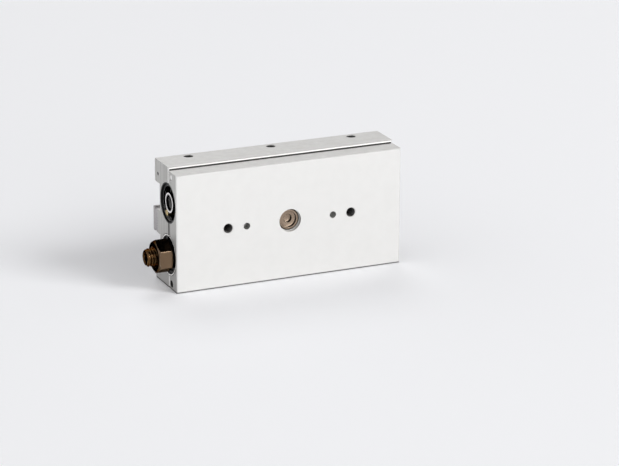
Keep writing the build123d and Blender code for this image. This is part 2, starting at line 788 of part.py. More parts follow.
def main():
    os.makedirs("parts", exist_ok=True)
    upper = bar_pieces(1, upper_bar_left, upper_bar_right, True)
    lower = bar_pieces(-1, lower_bar_left, lower_bar_right, False)
    nodes = {
        "front_housing": front_housing(),
        "rear_housing": rear_housing(),
        "guide_rail": guide_rail(),
        "body_screws": body_screws(),
        "rail_screws": rail_screws(),
        "body_dowels": body_dowels(),
        "end_plugs": end_plugs(),
        "upper_tube": cylinder_tube(bore_z, drive_x),
        "lower_tube": cylinder_tube(-bore_z, -drive_x),
        "upper_left_cap": mirrored(port_cap(bore_z)),
        "upper_right_cap": port_cap(bore_z),
        "lower_left_cap": mirrored(stop_cap(-bore_z)),
        "lower_right_cap": plain_cap(-bore_z),
        "throttle_screws": [mirrored(throttle_screw(bore_z)), throttle_screw(bore_z)],
        "retaining_rings": retaining_rings(),
        "cap_seals": cap_seals(),
        "pinion_pin": pinion_pin(),
        "thrust_washers": thrust_washers(),
        "pinion": pinion(),
        "pinion_bush": pinion_bush(),
        "upper_rack": upper["rack"],
        "upper_pistons": upper["pistons"],
        "upper_piston_seals": upper["seals"],
        "upper_wear_rings": upper["wear_rings"],
        "upper_end_pads": upper["end_pads"],
        "upper_drive_pin": drive_pin(1),
        "right_jaw": jaw(1),
        "lower_rack": lower["rack"],
        "lower_guide_heads": lower["pistons"],
        "lower_wear_rings": lower["wear_rings"],
        "lower_end_pads": lower["end_pads"],
        "lower_drive_pin": drive_pin(-1),
        "left_jaw": jaw(-1),
        "lock_nut": lock_nut(),
        "stop_screw": stop_screw(),
        "stop_pad": stop_pad(),
    }
    for name, shapes in nodes.items():
        write(name, shapes)


if __name__ == "__main__":
    main()
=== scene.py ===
import bpy
import json
import math
import numpy as np
from mathutils import Matrix, Vector


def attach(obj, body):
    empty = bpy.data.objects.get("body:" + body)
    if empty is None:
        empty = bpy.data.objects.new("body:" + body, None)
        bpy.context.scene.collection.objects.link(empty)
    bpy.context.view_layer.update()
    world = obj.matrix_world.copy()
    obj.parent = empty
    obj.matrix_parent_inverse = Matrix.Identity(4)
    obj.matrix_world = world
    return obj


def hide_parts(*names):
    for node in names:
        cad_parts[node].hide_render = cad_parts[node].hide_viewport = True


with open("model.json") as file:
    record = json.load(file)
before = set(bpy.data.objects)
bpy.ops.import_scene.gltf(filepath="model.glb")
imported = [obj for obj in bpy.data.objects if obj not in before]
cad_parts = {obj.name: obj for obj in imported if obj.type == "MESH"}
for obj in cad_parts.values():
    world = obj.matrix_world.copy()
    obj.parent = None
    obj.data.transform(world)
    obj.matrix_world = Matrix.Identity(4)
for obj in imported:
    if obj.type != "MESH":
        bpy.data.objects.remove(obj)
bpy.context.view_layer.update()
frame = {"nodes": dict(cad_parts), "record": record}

# Flat-bodied pneumatic gripper, standing on its long side on a pale floor.
# Lengths of the pieces, their seams and bands, the floor and the camera are in millimetres. Those
# of the lamps and of the finishes' edges and bumps are in metres.
nodes = frame["nodes"]
mm = 0.001
print("frame loaded,", len(nodes), "CAD nodes")

# The two bores run along X; their axes lie this deep behind the face and this high.
bores = {"depth": 9.6, "upper": 11.5, "lower": -11.5}


# Meshes are made from grids of points round an axis.
# e1, e2 and the axis make a right-handed set, so angles grow from e1 towards e2.
axisFrames = {
    "+x": ((0, 1, 0), (0, 0, 1), (1, 0, 0)),
    "-x": ((0, 0, 1), (0, 1, 0), (-1, 0, 0)),
    "+y": ((0, 0, 1), (1, 0, 0), (0, 1, 0)),
    "-y": ((1, 0, 0), (0, 0, 1), (0, -1, 0)),
    "+z": ((1, 0, 0), (0, 1, 0), (0, 0, 1)),
}


# point = centre + along * axis + radius * (cos(angle) * e1 + sin(angle) * e2)
def aroundAxis(along, radius, angle, centre, axis):
    e1, e2, direction = (np.array(v, float) for v in axisFrames[axis])
    along, radius, angle = np.broadcast_arrays(along, radius, angle)
    across = np.cos(angle)[..., None] * e1 + np.sin(angle)[..., None] * e2
    return np.array(centre, float) + along[..., None] * direction + radius[..., None] * across


# Rows and columns of points become four-sided faces; the last column joins the first. A row that
# is a pole keeps one vertex.
def gridShell(points, wrapRows=False, firstPole=False, lastPole=False):
    rows, columns = points.shape[:2]
    index = np.arange(rows * columns).reshape(rows, columns)
    if firstPole:
        index[0] = index[0, 0]
    if lastPole:
        index[-1] = index[-1, 0]
    if wrapRows:
        index = np.vstack([index, index[:1]])
    index = np.hstack([index, index[:, :1]])
    quads = np.stack([index[:-1, :-1], index[:-1, 1:], index[1:, 1:], index[1:, :-1]], -1).reshape(-1, 4)
    used, quads = np.unique(quads, return_inverse=True)
    return points.reshape(-1, 3)[used], quads.reshape(-1, 4)


# Six times the volume is the sum of a . (b x c) over the triangles; below zero means inside out.
def turnOutwards(shell):
    points, quads = shell
    middle = points.mean(0)
    a, b, c, d = (points[quads[:, k]] - middle for k in range(4))
    volume = np.einsum("ij,ij->i", a, np.cross(b, c)).sum() + np.einsum("ij,ij->i", a, np.cross(c, d)).sum()
    return (points, quads[:, ::-1]) if volume < 0 else (points, quads)


# One object from its shells, riding on a body of the frame. Its finish is the slot's, or the one given.
def makePiece(name, shells, body, slotName, replaced=(), closed=True, sharpAngle=34, finish=None):
    points, loops, sizes, offset = [], [], [], 0
    for shell in shells:
        shellPoints, quads = turnOutwards(shell) if closed else shell
        keep = quads != np.roll(quads, 1, axis=1)
        loops.append((quads + offset)[keep])
        sizes.append(keep.sum(1))
        points.append(shellPoints)
        offset += len(shellPoints)
    points, loops, sizes = np.vstack(points) * mm, np.concatenate(loops), np.concatenate(sizes)
    mesh = bpy.data.meshes.new(name)
    mesh.vertices.add(len(points))
    mesh.vertices.foreach_set("co", points.ravel())
    mesh.loops.add(len(loops))
    mesh.loops.foreach_set("vertex_index", loops)
    mesh.polygons.add(len(sizes))
    mesh.polygons.foreach_set("loop_start", np.concatenate([[0], np.cumsum(sizes)[:-1]]))
    mesh.polygons.foreach_set("use_smooth", np.ones(len(sizes), bool))
    mesh.update(calc_edges=True)
    mesh.validate()
    mesh.set_sharp_from_angle(angle=math.radians(sharpAngle))
    piece = bpy.data.objects.new(name, mesh)
    bpy.context.scene.collection.objects.link(piece)
    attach(piece, body)
    if replaced:
        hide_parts(*replaced)
    mesh.materials.append(finishes[finish or slotName])
    return piece


# Radius of a hexagon with its flats square to angle 0: half the flat over the cosine of the
# angle to the nearest flat, held under the corner radius so that the corners are broken.
def hexagonRadius(angle, flat, cornerCut=0.0):
    fromFlat = (angle + math.pi / 6) % (math.pi / 3) - math.pi / 6
    return np.minimum(flat / 2 / np.cos(fromFlat), flat / math.sqrt(3) - cornerCut)


ridgeForm = {"root": 0.14, "flank": 0.7}  # shares of the wave's height; the crest takes the rest


# Height of a thread's ridge from 0 at the root to 1 at the crest: a triangle wave of the way
# along in pitches less the turn, cut flat at its top and its bottom.
def threadRidge(along, angle, pitch):
    wave = np.abs(2 * ((along / pitch - angle / (2 * math.pi)) % 1.0) - 1)
    return np.clip((wave - ridgeForm["root"]) / ridgeForm["flank"], 0, 1)


# Angle k is k / count of a full turn.
def evenAngles(count):
    return np.arange(count) * 2 * math.pi / count


# Even angles over each flat of a hexagon; the gap at each corner is twice the facet, in degrees.
def hexagonAngles(perFlat, facet):
    one = np.radians(np.linspace(-30 + facet, 30 - facet, perFlat))
    return (one[None, :] + np.arange(6)[:, None] * math.pi / 3).ravel()


def addNode(tree, kind, values=None, **settings):
    made = tree.nodes.new(kind)
    for key, value in settings.items():
        setattr(made, key, value)
    for key, value in (values or {}).items():
        made.inputs[key].default_value = value
    return made


def newGroup(name, inputs, outputs):
    group = bpy.data.node_groups.new(name, "ShaderNodeTree")
    kinds = {float: "NodeSocketFloat", tuple: "NodeSocketVector"}
    for label, value in inputs.items():
        socket = group.interface.new_socket(name=label, in_out="INPUT", socket_type=kinds[type(value)])
        socket.default_value = value
    for label in outputs:
        group.interface.new_socket(name=label, in_out="OUTPUT", socket_type="NodeSocketFloat")
    return group, group.nodes.new("NodeGroupInput"), group.nodes.new("NodeGroupOutput")


def mathNode(tree, operation, first, second=None, clamp=False):
    made = tree.nodes.new("ShaderNodeMath")
    made.operation = operation
    made.use_clamp = clamp
    for slotNumber, value in enumerate((first, second)):
        if value is None:
            continue
        if isinstance(value, (int, float)):
            made.inputs[slotNumber].default_value = value
        else:
            tree.links.new(value, made.inputs[slotNumber])
    return made.outputs[0]


# Fine matt grain: a small noise with a larger, softer one under it.
def buildFineGrain():
    group, inside, outside = newGroup("fineGrain", {"Vector": (0.0, 0.0, 0.0), "Scale": 4000.0},
                                      ("Height", "Mottle"))
    small = addNode(group, "ShaderNodeTexNoise", {"Detail": 3.0, "Roughness": 0.6})
    large = addNode(group, "ShaderNodeTexNoise", {"Detail": 2.0, "Roughness": 0.5})
    group.links.new(inside.outputs["Vector"], small.inputs["Vector"])
    group.links.new(inside.outputs["Vector"], large.inputs["Vector"])
    group.links.new(inside.outputs["Scale"], small.inputs["Scale"])
    group.links.new(mathNode(group, "MULTIPLY", inside.outputs["Scale"], 0.035), large.inputs["Scale"])
    height = mathNode(group, "MULTIPLY_ADD", small.outputs["Fac"], 0.75)
    group.links.new(mathNode(group, "MULTIPLY", large.outputs["Fac"], 0.25), height.node.inputs[2])
    group.links.new(height, outside.inputs["Height"])
    group.links.new(large.outputs["Fac"], outside.inputs["Mottle"])
    return group


# Tool marks along one direction: noise on a vector that is stretched across the marks.
def buildToolLines():
    group, inside, outside = newGroup("toolLines", {"Vector": (0.0, 0.0, 0.0), "Stretch": (1.0, 1.0, 1.0)},
                                      ("Height",))
    stretched = addNode(group, "ShaderNodeVectorMath", operation="MULTIPLY")
    group.links.new(inside.outputs["Vector"], stretched.inputs[0])
    group.links.new(inside.outputs["Stretch"], stretched.inputs[1])
    lines = addNode(group, "ShaderNodeTexNoise", {"Scale": 1.0, "Detail": 4.0, "Roughness": 0.65})
    group.links.new(stretched.outputs[0], lines.inputs["Vector"])
    group.links.new(lines.outputs["Fac"], outside.inputs["Height"])
    return group


# Turning marks: noise of the distance from the axis and of the way along it. The axis is the
# vector's own Z direction.
def buildTurnedRings():
    group, inside, outside = newGroup("turnedRings", {"Vector": (0.0, 0.0, 0.0), "Scale": 6000.0},
                                      ("Height",))
    apart = group.nodes.new("ShaderNodeSeparateXYZ")
    group.links.new(inside.outputs["Vector"], apart.inputs[0])
    squares = mathNode(group, "ADD", mathNode(group, "MULTIPLY", apart.outputs[0], apart.outputs[0]),
                       mathNode(group, "MULTIPLY", apart.outputs[1], apart.outputs[1]))
    distance = mathNode(group, "MULTIPLY", mathNode(group, "SQRT", squares), inside.outputs["Scale"])
    along = mathNode(group, "MULTIPLY", apart.outputs[2], inside.outputs["Scale"])
    marks = addNode(group, "ShaderNodeTexNoise", {"Scale": 1.0, "Detail": 2.0}, noise_dimensions="2D")
    pair = group.nodes.new("ShaderNodeCombineXYZ")
    group.links.new(distance, pair.inputs[0])
    group.links.new(along, pair.inputs[1])
    group.links.new(pair.outputs[0], marks.inputs["Vector"])
    group.links.new(marks.outputs["Fac"], outside.inputs["Height"])
    return group


# Worn edges and painted edge highlights: where the normal of a rounded edge leaves the face's normal,
# broken up by noise. Some finishes take it as wear, others as a painted highlight along their edges.
def buildWornAndHighlightEdges():
    group, inside, outside = newGroup("wornAndHighlightEdges",
                                      {"Vector": (0.0, 0.0, 0.0), "Width": 0.0002, "Scale": 900.0}, ("Mask",))
    rounded = addNode(group, "ShaderNodeBevel", samples=6)
    group.links.new(inside.outputs["Width"], rounded.inputs["Radius"])
    facing = group.nodes.new("ShaderNodeNewGeometry")
    dot = addNode(group, "ShaderNodeVectorMath", operation="DOT_PRODUCT")
    group.links.new(rounded.outputs[0], dot.inputs[0])
    group.links.new(facing.outputs["Normal"], dot.inputs[1])
    turned = mathNode(group, "MULTIPLY", mathNode(group, "SUBTRACT", 1.0, dot.outputs["Value"]), 5.0,
                      clamp=True)
    chips = addNode(group, "ShaderNodeTexNoise", {"Detail": 3.0})
    group.links.new(inside.outputs["Vector"], chips.inputs["Vector"])
    group.links.new(inside.outputs["Scale"], chips.inputs["Scale"])
    broken = addNode(group, "ShaderNodeMapRange", {"From Min": 0.35, "From Max": 0.6})
    group.links.new(chips.outputs["Fac"], broken.inputs[0])
    group.links.new(mathNode(group, "MULTIPLY", turned, broken.outputs[0]), outside.inputs["Mask"])
    return group


# Dust and painted top shade: faces that look up, times a blotchy noise. Where the colour is darker than
# the finish, it paints shade on the top faces as well as dust.
def buildDustAndTopShade():
    group, inside, outside = newGroup("dustAndTopShade", {"Vector": (0.0, 0.0, 0.0), "Scale": 300.0}, ("Mask",))
    facing = group.nodes.new("ShaderNodeNewGeometry")
    apart = group.nodes.new("ShaderNodeSeparateXYZ")
    group.links.new(facing.outputs["Normal"], apart.inputs[0])
    upward = addNode(group, "ShaderNodeMapRange", {"From Min": 0.1, "From Max": 0.9})
    group.links.new(apart.outputs[2], upward.inputs[0])
    blotches = addNode(group, "ShaderNodeTexNoise", {"Detail": 5.0, "Roughness": 0.7})
    group.links.new(inside.outputs["Vector"], blotches.inputs["Vector"])
    group.links.new(inside.outputs["Scale"], blotches.inputs["Scale"])
    spread = addNode(group, "ShaderNodeMapRange", {"From Min": 0.1, "From Max": 0.75})
    group.links.new(blotches.outputs["Fac"], spread.inputs[0])
    group.links.new(mathNode(group, "MULTIPLY", upward.outputs[0], spread.outputs[0]), outside.inputs["Mask"])
    return group


groups = {
    "grain": buildFineGrain(),
    "lines": buildToolLines(),
    "rings": buildTurnedRings(),
    "wearAndHighlight": buildWornAndHighlightEdges(),
    "dustAndShade": buildDustAndTopShade(),
}
print("shader groups built,", len(groups))


def useGroup(tree, name, vector, values):
    made = tree.nodes.new("ShaderNodeGroup")
    made.node_tree = groups[name]
    tree.links.new(vector, made.inputs["Vector"])
    for key, value in values.items():
        made.inputs[key].default_value = value
    return made


def mixColour(tree, factor, first, second):
    made = addNode(tree, "ShaderNodeMix", data_type="RGBA", clamp_factor=True)
    tree.links.new(factor, made.inputs[0])
    for number, value in ((6, first), (7, second)):
        if isinstance(value, tuple):
            made.inputs[number].default_value = (*value, 1.0)
        else:
            tree.links.new(value, made.inputs[number])
    return made.outputs[2]


hair = 0.001  # in millimetres


# Painted shade along a line: 1 at the line's plane, falling to 0 at its reach, only where |x| passes
# beyondX less a hair and, where the line has withinZ, |z| stays below it. It paints shade in the
# housing's joint and a contact shadow along the bottom edge.
def seamShadeMask(tree, place, shadedSeam):
    across = addNode(tree, "ShaderNodeVectorMath", {1: shadedSeam["normal"]}, operation="DOT_PRODUCT")
    tree.links.new(place, across.inputs[0])
    fromPlane = mathNode(tree, "SUBTRACT", across.outputs["Value"], shadedSeam["offset"] * mm)
    away = mathNode(tree, "ABSOLUTE", fromPlane)
    near = addNode(tree, "ShaderNodeMapRange",
                   {"From Min": 0.5 * shadedSeam["reach"] * mm, "From Max": shadedSeam["reach"] * mm,
                    "To Min": 1.0, "To Max": 0.0})
    tree.links.new(away, near.inputs[0])
    apart = tree.nodes.new("ShaderNodeSeparateXYZ")
    tree.links.new(place, apart.inputs[0])
    atEnd = mathNode(tree, "GREATER_THAN", mathNode(tree, "ABSOLUTE", apart.outputs[0]),
                     (shadedSeam["beyondX"] - hair) * mm)
    mask = mathNode(tree, "MULTIPLY", near.outputs[0], atEnd)
    if "withinZ" in shadedSeam:
        level = mathNode(tree, "ABSOLUTE", apart.outputs[2])
        mask = mathNode(tree, "MULTIPLY", mask, mathNode(tree, "LESS_THAN", level, shadedSeam["withinZ"] * mm))
    return mask


# A band round the bores' axes: 1 between the two radii, at the ends past beyondX. The bands paint
# shade inside the bores' mouths and highlights on the lower mouth's rim and on the caps' bosses. The
# height is taken without its sign, so one distance serves both bores, and a level keeps only one of them.
def bandMask(tree, place, band):
    apart = tree.nodes.new("ShaderNodeSeparateXYZ")
    tree.links.new(place, apart.inputs[0])
    sideways = mathNode(tree, "SUBTRACT", apart.outputs[1], bores["depth"] * mm)
    height = mathNode(tree, "SUBTRACT", mathNode(tree, "ABSOLUTE", apart.outputs[2]), bores["upper"] * mm)
    squares = mathNode(tree, "ADD", mathNode(tree, "MULTIPLY", sideways, sideways),
                       mathNode(tree, "MULTIPLY", height, height))
    radius = mathNode(tree, "SQRT", squares)
    inner, outer = (r * mm for r in band["radii"])
    within = mathNode(tree, "MULTIPLY", mathNode(tree, "GREATER_THAN", radius, inner),
                      mathNode(tree, "LESS_THAN", radius, outer))
    atEnd = mathNode(tree, "GREATER_THAN", mathNode(tree, "ABSOLUTE", apart.outputs[0]), band["beyondX"] * mm)
    mask = mathNode(tree, "MULTIPLY", within, atEnd)
    if band["level"] == "both":
        return mask
    wanted = "LESS_THAN" if band["level"] == "lower" else "GREATER_THAN"
    return mathNode(tree, "MULTIPLY", mask, mathNode(tree, wanted, apart.outputs[2], 0.0))


# One part of the surface's normal: 0 for X, 1 for Y, 2 for Z.
def normalPart(tree, index):
    facing = tree.nodes.new("ShaderNodeNewGeometry")
    apart = tree.nodes.new("ShaderNodeSeparateXYZ")
    tree.links.new(facing.outputs["Normal"], apart.inputs[0])
    return apart.outputs[index]


# What a finish has where its own dictionary doesn't say; widths, radii and distances in metres.
commonLook = {"metallic": 1.0, "ior": 1.5, "grainHeight": 1.0, "edgeWidth": 0.00018, "edgeScale": 900.0,
              "edgeRadius": 0.00012, "wornPolish": 0.1, "dustAndShadeScale": 260.0, "ringScale": 6000.0,
              "bumpStrength": 0.6, "bumpDistance": 0.00002}


# One finish from its dictionary: colour with mottle; painted shade on end faces; worn edges, which on
# some finishes are painted highlights; dust, with painted shade on the tops; painted shade in seams and
# a painted contact shadow; bands of painted shade and highlight; painted shade on faces turned aside or
# up; roughness that follows the grain; and one bump that adds grain, tool lines and turning rings.
def makeFinish(name, ownLook):
    look = {**commonLook, **ownLook}
    material = bpy.data.materials.new(name)
    material.use_nodes = True
    tree = material.node_tree
    shader = tree.nodes["Principled BSDF"]
    shader.inputs["Metallic"].default_value = look["metallic"]
    shader.inputs["IOR"].default_value = look["ior"]
    place = tree.nodes.new("ShaderNodeTexCoord").outputs["Object"]
    grain = useGroup(tree, "grain", place, {"Scale": look["grainScale"]})
    mottle = addNode(tree, "ShaderNodeMapRange", {"From Min": 0.3, "From Max": 0.7})
    tree.links.new(grain.outputs["Mottle"], mottle.inputs[0])
    colour = mixColour(tree, mottle.outputs[0], look["colour"], look["mottleColour"])
    # End faces: painted shade, mixed with milled stripes, and more painted shade towards the foot.
    if "endShadeColour" in look:
        endNormal = normalPart(tree, 0)
        onEnd = mathNode(tree, "MULTIPLY", endNormal, endNormal, clamp=True)
        stripes = useGroup(tree, "lines", place, {"Stretch": look["stripeStretch"]})
        stripeShare = addNode(tree, "ShaderNodeMapRange", {"From Min": 0.4, "From Max": 0.62})
        tree.links.new(stripes.outputs["Height"], stripeShare.inputs[0])
        endShadeColour = mixColour(tree, stripeShare.outputs[0], look["endShadeColour"], look["endShadeStripeColour"])
        if "footColour" in look:
            height = tree.nodes.new("ShaderNodeSeparateXYZ")
            tree.links.new(place, height.inputs[0])
            full, none = (z * mm for z in look["footFade"])
            foot = addNode(tree, "ShaderNodeMapRange",
                           {"From Min": full, "From Max": none, "To Min": 1.0, "To Max": 0.0})
            tree.links.new(height.outputs[2], foot.inputs[0])
            endShadeColour = mixColour(tree, foot.outputs[0], endShadeColour, look["footColour"])
        colour = mixColour(tree, mathNode(tree, "POWER", onEnd, 3.0), colour, endShadeColour)
    # Worn edges: real wear on some finishes, painted highlights along the edges on others.
    wearAndHighlight = useGroup(tree, "wearAndHighlight", place, {"Width": look["edgeWidth"], "Scale": look["edgeScale"]})
    colour = mixColour(tree, wearAndHighlight.outputs["Mask"], colour, look["wearAndHighlightColour"])
    # Dust on faces that look up; a dust colour darker than the finish paints shade there too.
    if "dustAndShadeColour" in look:
        dustAndShade = useGroup(tree, "dustAndShade", place, {"Scale": look["dustAndShadeScale"]})
        dustAndShadeShare = mathNode(tree, "MULTIPLY", dustAndShade.outputs["Mask"], look["dustAndShadeShare"])
        colour = mixColour(tree, dustAndShadeShare, colour, look["dustAndShadeColour"])
    # Painted shade along the seams and a painted contact shadow along the bottom edge.
    for shadedSeam in look.get("shadedSeams", ()):
        colour = mixColour(tree, seamShadeMask(tree, place, shadedSeam), colour, look["seamShadeColour"])
    # Bands of painted shade and painted highlight round the bores.
    for band in look.get("shadeAndHighlightBands", ()):
        colour = mixColour(tree, bandMask(tree, place, band), colour, band["colour"])
    # Painted shade on faces turned aside from Y.
    if "sideShadeColour" in look:
        faceNormal = normalPart(tree, 1)
        flat = mathNode(tree, "MULTIPLY", faceNormal, faceNormal)
        side = addNode(tree, "ShaderNodeMapRange",
                       {"From Min": 0.25, "From Max": 0.85, "To Min": 1.0, "To Max": 0.0})
        tree.links.new(flat, side.inputs[0])
        colour = mixColour(tree, side.outputs[0], colour, look["sideShadeColour"])
    # Painted shade on faces that look up.
    if "upperShadeColour" in look:
        upper = addNode(tree, "ShaderNodeMapRange", {"From Min": 0.3, "From Max": 0.75})
        tree.links.new(normalPart(tree, 2), upper.inputs[0])
        colour = mixColour(tree, upper.outputs[0], colour, look["upperShadeColour"])
    if "edgeTint" in look:
        shader.inputs["Specular Tint"].default_value = (*look["edgeTint"], 1.0)
    tree.links.new(colour, shader.inputs["Base Color"])
    height = mathNode(tree, "MULTIPLY", grain.outputs["Height"], look["grainHeight"])
    if "lineStretch" in look:
        lines = useGroup(tree, "lines", place, {"Stretch": look["lineStretch"]})
        lineHeight = lines.outputs["Height"]
        if "lineFacing" in look:
            facing = tree.nodes.new("ShaderNodeNewGeometry")
            along = addNode(tree, "ShaderNodeVectorMath", {1: look["lineFacing"]}, operation="DOT_PRODUCT")
            tree.links.new(facing.outputs["Normal"], along.inputs[0])
            onFace = mathNode(tree, "MULTIPLY", along.outputs["Value"], along.outputs["Value"], clamp=True)
            lineHeight = mathNode(tree, "MULTIPLY", lineHeight, onFace)
        height = mathNode(tree, "ADD", height, mathNode(tree, "MULTIPLY", lineHeight, look["lineHeight"]))
    if "ringCentre" in look:
        centred = addNode(tree, "ShaderNodeMapping", {"Location": tuple(-v * mm for v in look["ringCentre"])})
        tree.links.new(place, centred.inputs[0])
        apart = tree.nodes.new("ShaderNodeSeparateXYZ")
        turned = tree.nodes.new("ShaderNodeCombineXYZ")
        tree.links.new(centred.outputs[0], apart.inputs[0])
        for target, source in enumerate(look["ringOrder"]):
            tree.links.new(apart.outputs[source], turned.inputs[target])
        rings = useGroup(tree, "rings", turned.outputs[0], {"Scale": look["ringScale"]})
        height = mathNode(tree, "ADD", height,
                          mathNode(tree, "MULTIPLY", rings.outputs["Height"], look["ringHeight"]))
    smoothest, roughest = look["roughness"]
    rough = addNode(tree, "ShaderNodeMapRange",
                    {"From Min": 0.25, "From Max": 0.75, "To Min": smoothest, "To Max": roughest})
    tree.links.new(grain.outputs["Height"], rough.inputs[0])
    polish = mathNode(tree, "MULTIPLY", wearAndHighlight.outputs["Mask"], look["wornPolish"])
    roughness = mathNode(tree, "SUBTRACT", rough.outputs[0], polish, clamp=True)
    tree.links.new(roughness, shader.inputs["Roughness"])
    rounded = addNode(tree, "ShaderNodeBevel", {"Radius": look["edgeRadius"]}, samples=6)
    bump = addNode(tree, "ShaderNodeBump",
                   {"Strength": look["bumpStrength"], "Distance": look["bumpDistance"]})
    tree.links.new(height, bump.inputs["Height"])
    tree.links.new(rounded.outputs[0], bump.inputs["Normal"])
    tree.links.new(bump.outputs[0], shader.inputs["Normal"])
    return material


